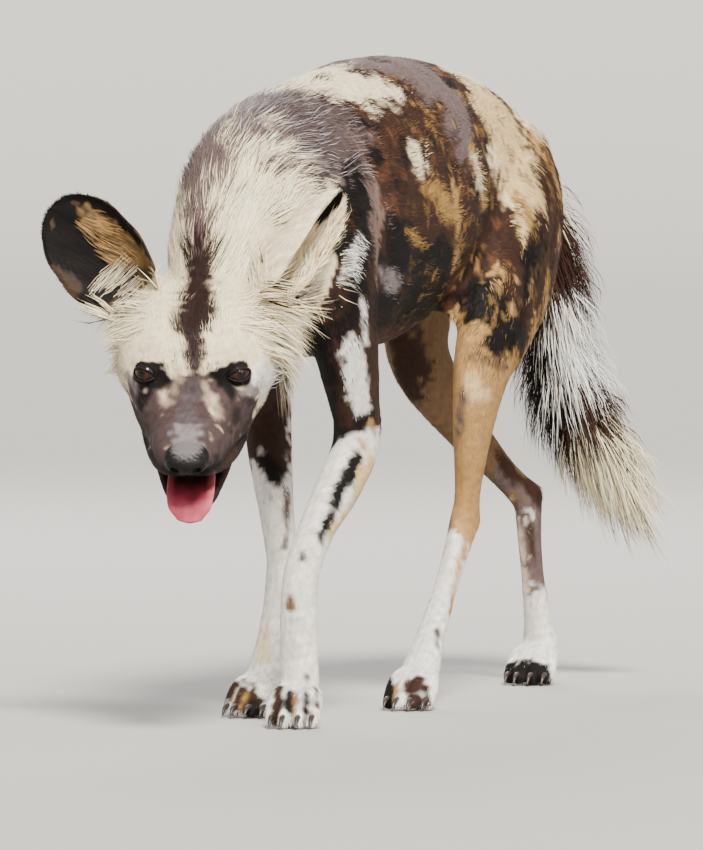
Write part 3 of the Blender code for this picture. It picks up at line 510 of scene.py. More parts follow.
# Moves of the head's skin: place and reach in the head's frame, and the move at its middle; both sides alike
faceMoves = [
    ((-0.004, 0.036, 0.020), (0.022, 0.020, 0.014), (0.0010, 0.0000, 0.0030)),     # brow
    ((0.024, 0.026, 0.000), (0.020, 0.014, 0.014), (-0.0020, -0.0010, -0.0030)),   # inner corner of the eye
    ((0.036, 0.000, -0.008), (0.034, 0.020, 0.014), (0.0000, 0.0000, -0.0025)),    # stop
    ((0.052, 0.040, -0.032), (0.030, 0.018, 0.020), (0.0000, -0.0045, 0.0000)),    # hollow beside the muzzle
    ((0.026, 0.052, -0.026), (0.022, 0.016, 0.016), (0.0010, 0.0015, 0.0010)),     # cheek below the eye
    ((-0.030, 0.000, 0.046), (0.060, 0.009, 0.020), (0.0000, 0.0000, -0.0022)),    # furrow of the forehead
    ((-0.030, 0.040, 0.040), (0.045, 0.030, 0.025), (0.0000, 0.0000, 0.0025)),     # crown to each side of it
    ((0.078, 0.027, -0.050), (0.022, 0.014, 0.016), (0.0015, 0.0020, 0.0000)),     # whisker pad
    ((0.070, 0.016, -0.020), (0.032, 0.010, 0.012), (0.0000, 0.0000, 0.0018)),     # edge of the bridge
    ((-0.030, 0.070, -0.030), (0.040, 0.020, 0.024), (0.0000, 0.0020, 0.0000)),    # cheekbone
]


def shapedFace(points):
    # Each move falls off as (1 - d^2)^2, where d is the distance from its place over its reach
    places = toHead(points)
    total = np.zeros_like(places)
    for place, reach, move in faceMoves:
        for side in ((1, -1) if place[1] else (1,)):
            flip = np.array([1, side, 1])
            d2 = (((places - np.array(place) * flip) / np.array(reach)) ** 2).sum(1)
            total += (np.clip(1 - d2, 0, 1) ** 2)[:, None] * np.array(move) * flip
    return fromHead(places + total)


def lidded(points, centre, gaze, across, high):
    # Points near the eye move onto a ball round it, and those inside the almond sink below the eyeball
    q = points - centre
    ahead, h, v = q @ gaze, q @ across, q @ high
    distance = np.linalg.norm(q, axis=1)
    aside = np.hypot(h, v)
    power = eyes["power"]
    almond = (np.abs(h) / eyes["halfWidth"]) ** power + (np.abs(v) / eyes["halfHeight"]) ** power
    near = np.clip((eyes["reach"] - aside) / (eyes["reach"] - eyes["full"]), 0, 1) * (ahead > -0.002)
    near = near * near * (3 - 2 * near)
    lid = eyes["radius"] + eyes["lid"] * (1 + 0.35 * (v > 0))
    target = np.where(almond < 1, eyes["radius"] - eyes["sunk"], lid)
    onBall = centre + q / np.maximum(distance, 1e-9)[:, None] * target[:, None]
    keep = (distance < target) & (almond >= 1) & (aside > 0.0125)
    weight = np.where(almond < 1, (ahead > 0) & (aside < 0.016), near)
    weight = np.where(keep & (distance > lid), 0, weight)
    return points + (onBall - points) * weight[:, None]


def splitNear(thing, centres, reach):
    # Cuts each edge near the eyes once, so that the lids are smooth
    shape = bmesh.new()
    shape.from_mesh(thing.data)
    close = [edge for edge in shape.edges
             if any((edge.verts[0].co - Vector(centre)).length < reach for centre in centres)]
    bmesh.ops.subdivide_edges(shape, edges=close, cuts=1, use_grid_fill=True)
    bmesh.ops.triangulate(shape, faces=shape.faces)
    shape.to_mesh(thing.data)
    shape.free()


# Ears: the base is in the head's frame, and the axis and the way that the cup opens are in the dog's
ear = {"length": 0.126, "halfWidth": 0.044, "thickness": 0.0026}
ears = {
    "right": {"base": (-0.078, -0.060, 0.030), "axis": (-0.64, -0.16, 0.75), "front": (0.30, -0.94, -0.06),
              "spread": 1.0},
    "left": {"base": (-0.085, 0.068, 0.034), "axis": (0.44, 0.46, 0.80), "front": (0.88, -0.05, -0.30),
             "spread": 0.60},
}
# Share of the length, share of the half width, and depth of the cup as a share of the half width
earProfile = [
    (-0.16, 0.44, 0.60), (0.00, 0.66, 0.78), (0.15, 0.86, 0.72), (0.32, 0.98, 0.58), (0.50, 1.00, 0.44),
    (0.66, 0.94, 0.33), (0.80, 0.79, 0.25), (0.91, 0.55, 0.18), (0.975, 0.27, 0.10),
]


def earAxes(side):
    spec = ears[side]
    axis = normed(np.array(spec["axis"]))
    front = normed(np.array(spec["front"]) - axis * (np.array(spec["front"]) @ axis))
    return fromHead(spec["base"]), axis, front, np.cross(axis, front), spec["spread"]


def earCup(side):
    # Half ellipses across the axis, aside = w sin(a), behind = d (0.35 - cos(a)), as inner and outer sheet
    base, axis, front, across, spread = earAxes(side)
    rows = smoothRows(earProfile, 5)
    share, halfWidth = rows[:, 0], ear["halfWidth"] * rows[:, 1]
    depth = halfWidth * (rows[:, 2] + 1 - spread)
    turn = np.radians(np.linspace(-90, 90, 29))
    middle = base + np.outer(share * ear["length"], axis)
    ripple = 0.0007 * np.sin(share * 23)[:, None] * np.cos(turn * 5)        # soft ridges down the cup
    wave = 1 + 0.018 * np.sin(share * 19 + 1)[:, None] * np.sin(turn) ** 8  # and a rim that isn't quite even
    aside = (halfWidth * spread)[:, None] * np.sin(turn) * wave
    behind = depth[:, None] * (0.35 - np.cos(turn)) + ripple
    inner = middle[:, None] + across * aside[..., None] + front * behind[..., None]
    out = np.sin(turn)[:, None] * across - np.cos(turn)[:, None] * front
    rim = np.sqrt(np.clip(1 - (np.abs(np.degrees(turn)) / 90) ** 12, 0.12, 1))[:, None]
    outer = inner + out * ear["thickness"] * rim
    rings = np.concatenate([inner, outer[:, ::-1]], 1)
    start = rings[0].mean(0) - axis * 0.004
    finish = base + axis * ear["length"] - front * ear["thickness"] * 0.5
    return closedRings(rings, start, finish)


def facingOut(points, faces):
    # A closed surface whose volume comes out below nothing is inside out
    a, b, c = (points[faces[:, k]] for k in range(3))
    volume = (a * np.cross(b, c)).sum()
    return (points, faces) if volume > 0 else (points, faces[:, ::-1])


def pathTube(name, **kw):
    # The flesh along a path, a little below the solids
    return closedTube(paths[name]["rows"], inset=paths[name]["inset"], **kw)


def makeBody():
    voxel = skinSizes["bodyVoxel"]
    shapes = [pathTube(name, sides=32) for name in paths if name not in ("skull", "jaw")]
    body = fillCreases(fuse("body", shapes, voxel, 2), skinSizes["bodyCrease"], voxel)
    relax(body.data, 6)
    print("body", len(body.data.polygons))
    return body


def makeFace():
    # Skull and muzzle grow together; jaw and lips keep the creases between them, and the lids come last
    voxel = skinSizes["fleshVoxel"]
    neckEnd = closedTube(neckRows[:3], inset=paths["neck"]["inset"] + 0.0015, sides=32)
    shapes = [pathTube("skull", across=axes[1], sides=40, square=2.5), neckEnd]
    shapes += sideTubes(flewRows, sides=18, inset=0.0020)
    flesh = fillCreases(fuse("flesh", shapes, voxel, 2), skinSizes["headCrease"], voxel)
    relax(flesh.data, 4)
    jaw = pathTube("jaw", across=axes[1], sides=28, square=2.5)
    shapes = [shapeOf(flesh), jaw, lipTube(upperLip, 0.0008), lipTube(lowerLip, 0.0006)]
    face = fuse("head", shapes, skinSizes["headVoxel"], 3)
    setPoints(face.data, shapedFace(pointsOf(face.data)))
    places = [eyePlace(side) for side in ("left", "right")]
    splitNear(face, [place[0] for place in places], 0.021)
    for place in places:
        setPoints(face.data, lidded(pointsOf(face.data), *place))
    print("head", len(face.data.polygons))
    return face


def makePaw(name):
    # The foot of a leg with its toes, flat below where it stands on the ground
    spec = paws[name]
    rows = paths[spec["leg"]]["rows"]
    leg = closedTube(rows[-3:], inset=paths[spec["leg"]]["inset"], sides=24)
    paw = fuse(name, [leg] + pawTubes(rows[-1], math.radians(spec["turn"])), skinSizes["pawVoxel"], 2)
    points = pointsOf(paw.data)
    points[:, 2] = np.maximum(points[:, 2], 0.0003)
    setPoints(paw.data, points)
    return paw


def makeSkin():
    # One closed surface: body, head, ears and paws, each at its own fineness
    whole = unite(makeBody(), makeFace())
    for side in ears:
        unite(whole, meshObject("cup", *facingOut(*earCup(side)), moved=False))
    for name in paws:
        unite(whole, makePaw(name))
    points, faces = shapeOf(whole)
    used = np.unique(faces)
    number = np.zeros(len(points), np.int64)
    number[used] = np.arange(len(used))
    return meshObject("skin", points[used], number[faces])


skin = makeSkin()
print("skin", len(skin.data.polygons), "triangles")


def unwrapped(thing):
    # Islands of the skin's own faces, laid flat and packed into the unit square
    bpy.context.view_layer.objects.active = thing
    thing.select_set(True)
    thing.data.uv_layers.new(name="OFBake")
    bpy.ops.object.mode_set(mode="EDIT")
    bpy.ops.mesh.select_all(action="SELECT")
    bpy.ops.uv.smart_project(angle_limit=math.radians(66), island_margin=0.002)
    bpy.ops.object.mode_set(mode="OBJECT")
    thing.select_set(False)


unwrapped(skin)
print("unwrapped")

# ---- the lie of the coat

coat = {
    "blend": 0.018,                      # over what distance the lie of one path goes over into the next
    "sag": 0.12,                         # how much the lie of every hair turns down
    "earBack": (0.0062, 0.0009, 10, 1.6),        # length, width, lift and layers, as along the paths
    "earHollow": (0.0046, 0.0009, 11, 1.5),
    "wander": (0.42, 0.15),              # along and across the hair, how far from its root its tint is taken
    "steady": 0.45,                      # the share of that on the head
    "clump": (7, 0.22),                  # hairs to a clump, and how far their tips draw together
    "cover": 0.6,                        # the share of its length and width that a tuft covers
    "roll": 0.35,                        # spread of the turn about a tuft's own line, in radians
    "stray": 0.11,                       # and of its turn aside from the lie
}


def pathSamples():
    # Points along each path with its direction, mean radius, length so far and hair at that place
    found = {key: [] for key in ("centre", "along", "radius", "length", "hair", "path", "side", "high")}
    for number, (name, spec) in enumerate(paths.items()):
        rows = smoothRows(spec["rows"], 5)
        centre = rows[:, :3]
        along = normed(np.gradient(centre, axis=0))
        across = axes[1] if name in ("skull", "jaw") else np.array((1.0, 0, 0))
        side = normed(across - along * (along @ across)[:, None])
        share = np.linspace(0, 1, len(rows))
        found["centre"].append(centre)
        found["along"].append(along)
        found["radius"].append(np.sqrt(np.abs(rows[:, 3] * rows[:, 4])))
        found["length"].append(np.r_[0, np.cumsum(np.linalg.norm(np.diff(centre, axis=0), axis=1))])
        found["hair"].append(np.stack([np.interp(share, (0, 0.5, 1), [row[k] for row in spec["hair"]])
                                       for k in range(4)], 1))
        found["path"].append(np.full(len(rows), number))
        found["side"].append(side)
        found["high"].append(np.cross(side, along))
    return {key: np.concatenate(value) for key, value in found.items()}


samples = pathSamples()
pathNames = list(paths)


def earPlace(points, side):
    # Which points are on the ear, their shares of its length and half width, and which are on its hollow
    # side: those whose distance r (1 - 1 / ring) from the inner sheet is under half the ear's thickness
    base, axis, front, across, spread = earAxes(side)
    q = points - base
    share = q @ axis / ear["length"]
    rows = smoothRows(earProfile, 5)
    width = np.interp(share, rows[:, 0], rows[:, 1]) * ear["halfWidth"]
    depth = width * (np.interp(share, rows[:, 0], rows[:, 2]) + 1 - spread)
    aside, behind = q @ across, q @ front - 0.35 * depth
    ring = np.hypot(aside / (width * spread), behind / depth)
    there = (share > 0.04) & (share < 1.2)
    there &= (ring > np.where(share > 0.5, 0.1, 0.6)) & (ring < np.where(share > 0.85, 4, 1.5))
    gap = np.hypot(aside, behind) * (1 - 1 / np.maximum(ring, 1e-6))
    return there, share, aside / (width * spread), gap < 0.5 * ear["thickness"]


def follow(points):
    # A mean of the paths' directions and hair, with weights exp(-(d / r)^2) of the distance d from each tube
    lie, hair = np.empty_like(points), np.empty((len(points), 4))
    nearest = np.empty(len(points), int)
    for start in range(0, len(points), 20000):
        part = slice(start, start + 20000)
        gap = np.linalg.norm(points[part, None] - samples["centre"][None], axis=2) - samples["radius"]
        weight = np.exp(-(np.maximum(gap, 0) / coat["blend"]) ** 2) + 1e-6 * np.exp(-gap / 0.05)
        weight /= weight.sum(1, keepdims=True)
        lie[part] = weight @ samples["along"]
        hair[part] = weight @ samples["hair"]
        nearest[part] = np.argmin(gap, 1)
    lie = lie - np.array([0, 0, coat["sag"]])
    for side in ears:
        there, _, aside, inner = earPlace(points, side)
        _, axis, _, across, _ = earAxes(side)
        lie[there] = (axis + across * (0.35 * aside * inner)[:, None])[there]
        hair[there] = coat["earBack"]
        hair[there & inner] = coat["earHollow"]
    eyeGap = np.min([np.linalg.norm(points - eyePlace(side)[0], axis=1) for side in ("left", "right")], 0)
    near = np.clip((eyeGap - 0.012) / 0.018, 0, 1)         # the hair gets short towards the eyes
    hair[:, 0] = np.minimum(hair[:, 0], 0.0026 + 0.012 * near)
    hair[:, 1] = np.minimum(hair[:, 1], 0.0007 + 0.0012 * near)
    return lie, hair, nearest


def waves(points, size, seed, count=14):
    # The mean of sines of random direction and phase, of about that wavelength, scaled to a spread of one
    draw = np.random.default_rng(seed)
    direction = normed(draw.normal(size=(count, 3))) * draw.uniform(0.7, 1.4, (count, 1))
    phase = draw.uniform(0, 2 * math.pi, count)
    return np.sin(points @ direction.T * (2 * math.pi / size) + phase).sum(1) / math.sqrt(count / 2)


def alongSkin(lie, normal, turn):
    # The lie laid into the surface and turned about its normal
    flat = normed(lie - normal * (lie * normal).sum(1, keepdims=True))
    return flat * np.cos(turn)[:, None] + np.cross(normal, flat) * np.sin(turn)[:, None]


def inMouth(points):
    # Between the lips, inside the line of the cheeks
    f, l, u = toHead(points).T
    wide = np.interp(f, (-0.02, 0.03, 0.07, 0.098), (0.030, 0.034, 0.024, 0.010))
    top = np.interp(f, (-0.02, 0.03, 0.098), (-0.060, -0.066, -0.055))
    low = np.interp(f, (-0.02, 0.03, 0.098), (-0.070, -0.083, -0.104))
    return (f < 0.097) & (f > -0.03) & (np.abs(l) < wide) & (u < top) & (u > low)


# ---- markings, the same for skin and coat

tints = {
    "cream": (0.90, 0.750, 0.505),
    "straw": (0.76, 0.54, 0.265),
    "white": (0.90, 0.87, 0.80),
    "black": (0.0045, 0.0032, 0.0032),
    "brown": (0.037, 0.016, 0.010),
    "darkGrey": (0.028, 0.018, 0.017),
    "grey": (0.088, 0.068, 0.070),
    "mauve": (0.072, 0.045, 0.044),
    "paleGrey": (0.23, 0.195, 0.20),
    "greyBrown": (0.140, 0.098, 0.090),
    "dusk": (0.092, 0.064, 0.062),
    "greyPurple": (0.150, 0.108, 0.104),
    "pinkGrey": (0.22, 0.145, 0.118),
    "blush": (0.43, 0.32, 0.235),
    "tan": (0.50, 0.29, 0.105),
    "gold": (0.40, 0.225, 0.065),
    "tanBrown": (0.19, 0.112, 0.055),
    "earGold": (0.24, 0.150, 0.062),
    "earBrown": (0.070, 0.042, 0.024),
    "earLobe": (0.046, 0.029, 0.018),
    "stripe": (0.019, 0.008, 0.006),
    # silver: partly pale hair and partly a painted sheen
    "silver": (0.36, 0.33, 0.34),
    "redBrown": (0.100, 0.040, 0.018),
    "mouth": (0.040, 0.008, 0.008),
}
# Millimetres: tint, both ends of a patch's middle line and its radius. Later patches lie over earlier ones
bodyMarks = [
    # The throat and chest patch is partly the dog's own brown and partly painted shade below the head
    ("brown", (30, -150, 385), (10, -60, 410), 48),  # throat and chest
    ("brown", (0, -70, 400), (0, 100, 370), 70),
    ("greyBrown", (11, -145, 573), (9, -162, 533), 22),  # nape and withers
    ("greyBrown", (-30, -90, 582), (8, -176, 524), 24),
    ("greyBrown", (6, -184, 510), (34, -215, 475), 12),
    ("greyBrown", (-30, -80, 590), (-70, 10, 590), 34),
    ("greyBrown", (0, -60, 610), (0, 20, 640), 35),
    ("greyBrown", (-28, -123, 573), (-5, -172, 509), 13),
    ("greyBrown", (-33, -31, 610), (71, 6, 600), 26),
    ("greyBrown", (20, -100, 590), (76, -10, 570), 24),
    ("greyBrown", (-7, -121, 573), (23, -150, 552), 16),
    ("greyBrown", (40, -160, 554), (83, -108, 558), 15),
    ("greyBrown", (83, -104, 560), (91, -9, 540), 16),
    ("greyBrown", (-2, -138, 558), (24, -190, 505), 11),
    ("dusk", (-10, -32, 622), (30, 10, 627), 24),
    ("dusk", (42, -45, 607), (75, 31, 592), 34),
    ("dusk", (86, -70, 570), (88, 15, 560), 22),
    ("pinkGrey", (95, 44, 578), (100, 52, 462), 21),  # left side, from the shoulder back
    ("dusk", (84, 8, 575), (94, 10, 540), 16),
    ("black", (90, 11, 552), (99, 3, 522), 14),
    ("black", (100, 6, 522), (99, -15, 403), 24),
    ("cream", (-4, 5, 634), (18, 32, 646), 12),
    ("cream", (11, 54, 654), (45, 90, 637), 30),
    ("cream", (-30, 60, 648), (11, 110, 660), 28),
    ("cream", (22, 90, 656), (63, 146, 630), 22),
    ("cream", (60, 126, 630), (84, 128, 610), 14),
    ("greyBrown", (10, 170, 670), (64, 225, 640), 22),
    ("brown", (70, 140, 625), (87, 206, 594), 12),
    ("greyPurple", (20, 235, 675), (76, 280, 612), 26),
    ("greyPurple", (83, 247, 602), (92, 265, 573), 18),
    ("brown", (89, 88, 580), (104, 110, 574), 9),
    ("cream", (92, 151, 572), (96, 153, 553), 12),
    ("brown", (91, 207, 581), (99, 205, 539), 12),
    ("brown", (99, 138, 521), (98, 197, 480), 24),
    ("black", (96, 111, 471), (88, 228, 449), 28),
    ("black", (104, 51, 412), (60, 260, 407), 30),
    ("gold", (101, 194, 516), (99, 222, 503), 11),
    ("gold", (99, 159, 533), (100, 202, 525), 8),
    ("gold", (98, 122, 489), (97, 160, 474), 7),
    ("redBrown", (96, 82, 522), (98, 104, 507), 8),
    ("paleGrey", (90, 78, 449), (85, 121, 433), 9),
    ("tan", (104, 55, 412), (91, 127, 400), 7),
    ("brown", (96, 256, 505), (83, 316, 478), 14),
    ("brown", (92, 430, 530), (104, 360, 410), 60),  # rump and thigh
    ("brown", (50, 500, 560), (75, 500, 450), 40),
    ("cream", (20, 370, 662), (75, 385, 600), 36),
    ("straw", (67, 359, 617), (83, 385, 550), 30),
    ("straw", (83, 363, 571), (97, 386, 506), 26),
    ("cream", (85, 345, 560), (94, 355, 520), 16),
    ("straw", (53, 375, 638), (76, 420, 580), 26),
    ("straw", (80, 400, 575), (93, 415, 530), 18),
    ("cream", (30, 471, 620), (60, 461, 600), 22),
    ("gold", (91, 285, 571), (91, 307, 514), 10),
    ("gold", (91, 382, 519), (100, 397, 496), 9),
    ("tan", (97, 222, 556), (93, 242, 474), 8),
    ("cream", (93, 284, 556), (94, 295, 530), 12),
    ("tan", (85, 340, 565), (85, 342, 562), 7),
    ("greyBrown", (76, 337, 601), (76, 339, 600), 5),
    ("brown", (88, 462, 547), (99, 455, 476), 18),
    ("black", (103, 416, 487), (109, 368, 426), 16),
    ("black", (87, 305, 417), (110, 343, 388), 27),
    ("black", (103, 311, 378), (109, 346, 369), 13),
    ("tan", (95, 322, 435), (98, 324, 431), 5),
    ("tan", (107, 339, 410), (109, 343, 404), 6),
    ("tan", (110, 378, 430), (110, 381, 420), 7),
    ("tan", (108, 405, 400), (109, 400, 385), 8),
    ("gold", (104, 430, 440), (105, 428, 430), 6),
    ("tan", (92, 245, 469), (75, 265, 430), 9),
    ("tan", (87, 275, 440), (84, 292, 386), 9),
    ("white", (105, 4, 485), (104, -15, 465), 6),  # left shoulder and foreleg
    ("white", (104, -15, 465), (100, -29, 443), 7.2),
    ("white", (106, 6, 419), (104, 19, 381), 5.5),
    ("white", (96, 1, 369), (90, 30, 313), 14.5),
    ("white", (91, -11, 369), (96, -4, 367), 6),
    ("white", (80, 10, 323), (85, 17, 319), 6),
    ("black", (70, -30, 394), (60, -4, 323), 18),
    ("black", (63, 11, 321), (48, 41, 281), 15),
    ("black", (49, 38, 280), (77, 28, 294), 9),
    ("black", (78, 29, 294), (94, 53, 306), 7),
    ("tan", (92, 50, 298), (92, 57, 290), 5),
    ("tan", (82, 36, 282), (87, 43, 276), 5),
    ("tan", (75, 85, 275), (66, 30, 195), 14),
    ("black", (83, 32, 267), (82, 12, 240), 9.2),
    ("black", (82, 11, 241), (79, -6, 220), 8),
    ("black", (79, -8, 220), (78, -20, 197), 6.2),
    ("black", (76, -30, 189), (79, -29, 179), 5),
    ("straw", (90, 58, 262), (90, 30, 222), 12.5),
    ("straw", (86, 20, 218), (83, -7, 186), 9),
    ("grey", (64, -50, 173), (65, -52, 168), 4),
    ("tanBrown", (56, -63, 129), (56, -63, 119), 6),
    ("brown", (51, -73, 40), (61, -100, 11), 6),  # left forepaw
    ("black", (64, -70, 46), (78, -101, 9), 6.4),
    ("black", (75, -62, 50), (93, -94, 10), 5.6),
    ("tan", (70, -78, 36), (79, -94, 16), 2.4),
    ("brown", (85, -61, 40), (93, -74, 22), 3.5),
    ("brown", (-70, 110, 355), (-56, 106, 276), 36),  # right foreleg
    ("black", (-60, 93, 262), (-44, 99, 240), 9),
    ("greyBrown", (-36, 110, 225), (-34, 100, 170), 5),
    ("greyBrown", (-54, 136, 262), (-40, 127, 110), 12),
    ("cream", (-45, 70, 90), (-41, 63, 60), 8),
    ("brown", (-58, 36, 26), (-28, 12, 6), 18),
    ("black", (-45, 5, 8), (-31, 18, 4), 12),
    ("gold", (-42, 30, 26), (-41, 10, 6), 3.5),
    ("cream", (-54, 40, 28), (-56, 20, 14), 3),
    ("tan", (60, 320, 330), (48, 340, 200), 34),  # left hind leg
    ("straw", (81, 286, 335), (94, 307, 314), 10),
    ("tan", (50, 345, 200), (46, 330, 160), 12),
    ("greyBrown", (70, 285, 320), (44, 314, 240), 6),
    ("greyBrown", (43, 317, 239), (33, 327, 181), 6),
    ("greyBrown", (37, 315, 169), (43, 290, 129), 4),
    ("white", (46, 308, 170), (47, 262, 90), 13),
    ("tan", (57, 333, 190), (57, 325, 153), 6),
    ("tan", (56, 318, 149), (59, 289, 94), 5),
    ("gold", (107, 345, 360), (100, 365, 340), 9),
    ("tanBrown", (81, 286, 360), (104, 327, 347), 6),
    ("grey", (58, 259, 78), (64, 251, 62), 4),
    ("black", (26, 206, 28), (36, 182, 6), 12.5),
    ("tan", (40, 204, 26), (46, 186, 10), 3),
    ("brown", (58, 202, 24), (68, 188, 6), 10.5),
    ("brown", (70, 206, 24), (78, 197, 10), 6),
    # Right hind leg: its first two brown patches, on the front of the thigh, are partly its own brown and
    # partly painted shade
    ("brown", (-72, 425, 375), (-78, 460, 318), 20),  # right hind leg
    ("brown", (-56, 440, 375), (-60, 459, 340), 10),
    ("tanBrown", (-60, 540, 290), (-36, 600, 220), 26),
    ("greyBrown", (-26, 590, 224), (-18, 636, 190), 18),
    ("greyBrown", (-20, 640, 200), (-20, 642, 124), 24),
    ("brown", (-28, 580, 246), (-10, 645, 190), 9),
    ("greyBrown", (-12, 652, 150), (-10, 658, 100), 10),
    ("cream", (-34, 606, 188), (-32, 628, 105), 8.5),
    ("brown", (-16, 620, 180), (-13, 626, 130), 4),
    ("black", (-40, 606, 14), (6, 606, 14), 16),
    ("cream", (-30, 602, 30), (-30, 585, 12), 2.5),
    ("greyBrown", (-13, 604, 30), (-12, 585, 12), 2.5),
    ("cream", (-60, 90, 630), (-80, 150, 600), 26),  # right side, from the species
    ("black", (-100, 20, 520), (-100, 0, 420), 30),
    ("black", (-100, 100, 500), (-100, 210, 440), 34),
    ("white", (-106, 30, 460), (-104, 55, 420), 11),
    ("white", (-106, 55, 400), (-104, 75, 370), 9),
    ("gold", (-100, 160, 540), (-100, 200, 520), 13),
    ("tan", (-95, 230, 460), (-95, 260, 440), 12),
    ("cream", (-98, 240, 570), (-98, 270, 540), 18),
    ("greyPurple", (-60, 250, 640), (-80, 290, 610), 26),
    ("cream", (-60, 390, 620), (-90, 400, 540), 32),
    ("black", (-85, 330, 500), (-90, 400, 460), 26),
    ("black", (-105, 470, 470), (-110, 480, 400), 24),
    ("straw", (-100, 440, 500), (-104, 430, 470), 13),
    ("tan", (-112, 490, 430), (-112, 492, 420), 10),
]
# The same for the head, in its own frame: forward, left and up
headMarks = [
    ("greyBrown", (-120, 0, 66), (-96, 0, 62), 10),  # stripe over the crown
    ("stripe", (-98, 0, 62), (-67, 1, 51), 14),
    ("stripe", (-60, 1, 49), (-22, 3, 40), 19),
    ("stripe", (-22, 3, 39), (6, 3, 23), 11),
    ("stripe", (6, 3, 23), (24, 4, 6), 7),
    ("mauve", (42, 0, -14), (85, 0, -24), 36),  # mask
    ("mauve", (24, -50, -28), (91, -29, -50), 30),
    ("mauve", (30, 52, -36), (91, 29, -50), 29),
    ("mauve", (24, 26, -6), (38, 44, -26), 17),
    ("mauve", (24, -26, -6), (38, -44, -26), 17),
    ("darkGrey", (0, -60, -56), (95, -28, -62), 18),
    ("darkGrey", (0, 60, -66), (95, 28, -64), 17),
    ("darkGrey", (60, 0, -70), (100, 0, -58), 24),
    ("brown", (-42, -71, -58), (20, -58, -52), 14),
    ("brown", (-60, 0, -75), (40, 0, -75), 45),  # under the jaw
    ("grey", (28, 4, -6), (60, 0, -16), 12),
    ("grey", (70, 0, -17), (109, -1, -28), 17),
    # The next two pale grey patches, on the bridge just behind the nose pad, are a painted sheen
    ("paleGrey", (84, 0, -18), (106, 0, -21), 14),
    ("paleGrey", (95, -11, -24), (96, 11, -24), 7),
    ("white", (3, 65, -4), (-34, 72, -50), 14),
    ("paleGrey", (20, 56, -10), (8, 62, -24), 7.5),
    ("paleGrey", (6, -64, -6), (15, -57, -12), 6),
    ("black", (21, -44, -6), (28, -50, -24), 7),  # below the eyes
    ("black", (23, 34, -2), (29, 40, -12), 6.5),
    ("darkGrey", (36, 44, -18), (40, 47, -33), 6),
    ("darkGrey", (24, 52, -21), (6, 61, -36), 4.5),
    ("blush", (30, -26, -8), (40, -22, -12), 5.2),
    ("cream", (33, -25, -10), (36, -23, -11), 1.8),
    ("blush", (26, 14, -3), (36, 20, -10), 5),
    ("blush", (36, 18, -11), (52, 26, -17), 7.8),
    ("cream", (38, 22, -12), (44, 26, -14), 2.6),
    ("cream", (48, 20, -16), (52, 22, -18), 2),
    ("blush", (20, -12, 4), (30, -16, -5), 5),
    ("mauve", (40, 10, -13), (60, 13, -19), 4.5),
    ("black", (20, 47, -72), (97, 0, -60), 6.5),  # lips
    ("black", (97, 12, -60), (97, -12, -60), 7),
    ("black", (20, -47, -72), (97, 0, -60), 6.5),
    ("earBrown", (-76, -100, 21), (-66, -93, 19), 10),  # below the right ear
    ("greyBrown", (-88, 70, 22), (-83, 74, 16), 6),
]
# On the hollow side of each ear, in the head's frame
earMarks = {
    "right": [
        ("earLobe", (-100, -134, 44), (-92, -122, 34), 10),
        ("earGold", (-131, -105, 91), (-120, -79, 75), 10),
        ("tan", (-129, -99, 88), (-122, -83, 78), 4.5),
        ("earGold", (-118, -75, 69), (-106, -57, 54), 14),
        ("earBrown", (-109, -70, 47), (-100, -51, 48), 6),
    ],
    "left": [("straw", (-150, 130, 50), (-120, 110, 60), 16)],
}


def inMetres(marks):
    return [(tint, np.array(start) / 1000, np.array(end) / 1000, size / 1000)
            for tint, start, end, size in marks]


def smoothStep(edge, value):
    share = np.clip(value / edge * 0.5 + 0.5, 0, 1)
    return share * share * (3 - 2 * share)


def painted(colour, tint, mask):
    return colour + (np.array(tints[tint]) - colour) * np.asarray(mask, float)[:, None]


def patch(points, start, end, size, ripple, soft):
    # One inside the capsule round the line from start to end, whose radius wavers with the ripple
    line = end - start
    share = np.clip((points - start) @ line / max(line @ line, 1e-9), 0, 1)
    distance = np.linalg.norm(points - start - share[:, None] * line, axis=1)
    return smoothStep(soft, size * (1 + 0.30 * ripple) - distance)


def earSlitShadow(places):
    # Painted shadow: the part of the left ear's hollow that lies in shade under its front edge, wider towards
    # the tip
    there, share, aside, inner = earPlace(fromHead(places), "left")
    return there & inner & (share > 0.64) & (aside > -0.9) & (aside < 0.71 + 0.55 * (share - 0.64))


def earTint(points, places, colour, ripple):
    # The right ear is black inside with a golden fringe on its upper side; the left is cream, with a painted
    # shadow in black under its front edge
    for side, outside, inside in (("right", "earBrown", "black"), ("left", "cream", "cream")):
        there, share, _, inner = earPlace(points, side)
        hollow = there & inner
        colour = painted(colour, outside, there)
        colour = painted(colour, inside, hollow & (share > 0.12))
        for tint, start, end, size in inMetres(earMarks[side]):
            colour = painted(colour, tint, patch(places, start, end, size, ripple, 0.003) * hollow)
    # Painted shadow in the left ear's hollow, black
    return painted(colour, "black", earSlitShadow(places))


# Bands along the tail: where each begins as a share of its length, and its tints on the left and on the right
tailBands = [(0.00, "cream", "cream"), (0.13, "brown", "brown"), (0.36, "white", "black"),
             (0.64, "brown", "black"), (0.76, "cream", "cream")]


def tailShare(nearest):
    # Which places lie along the tail, and how far along it as a share of its length
    onTail = samples["path"] == pathNames.index("tail")
    return onTail[nearest], samples["length"][nearest] / samples["length"][onTail].max()


def tailTint(points, nearest, colour, coarse):
    onTail, along = tailShare(nearest)
    offset = points - samples["centre"][nearest]
    aside = 0.88 * offset[:, 0] + 0.47 * offset[:, 1] + 0.004 * coarse
    for begin, leftTint, rightTint in tailBands:
        mask = onTail & (along + 0.03 * coarse > begin)
        colour = painted(colour, leftTint, mask & (aside > -0.003))
        colour = painted(colour, rightTint, mask & (aside <= -0.003))
    return colour


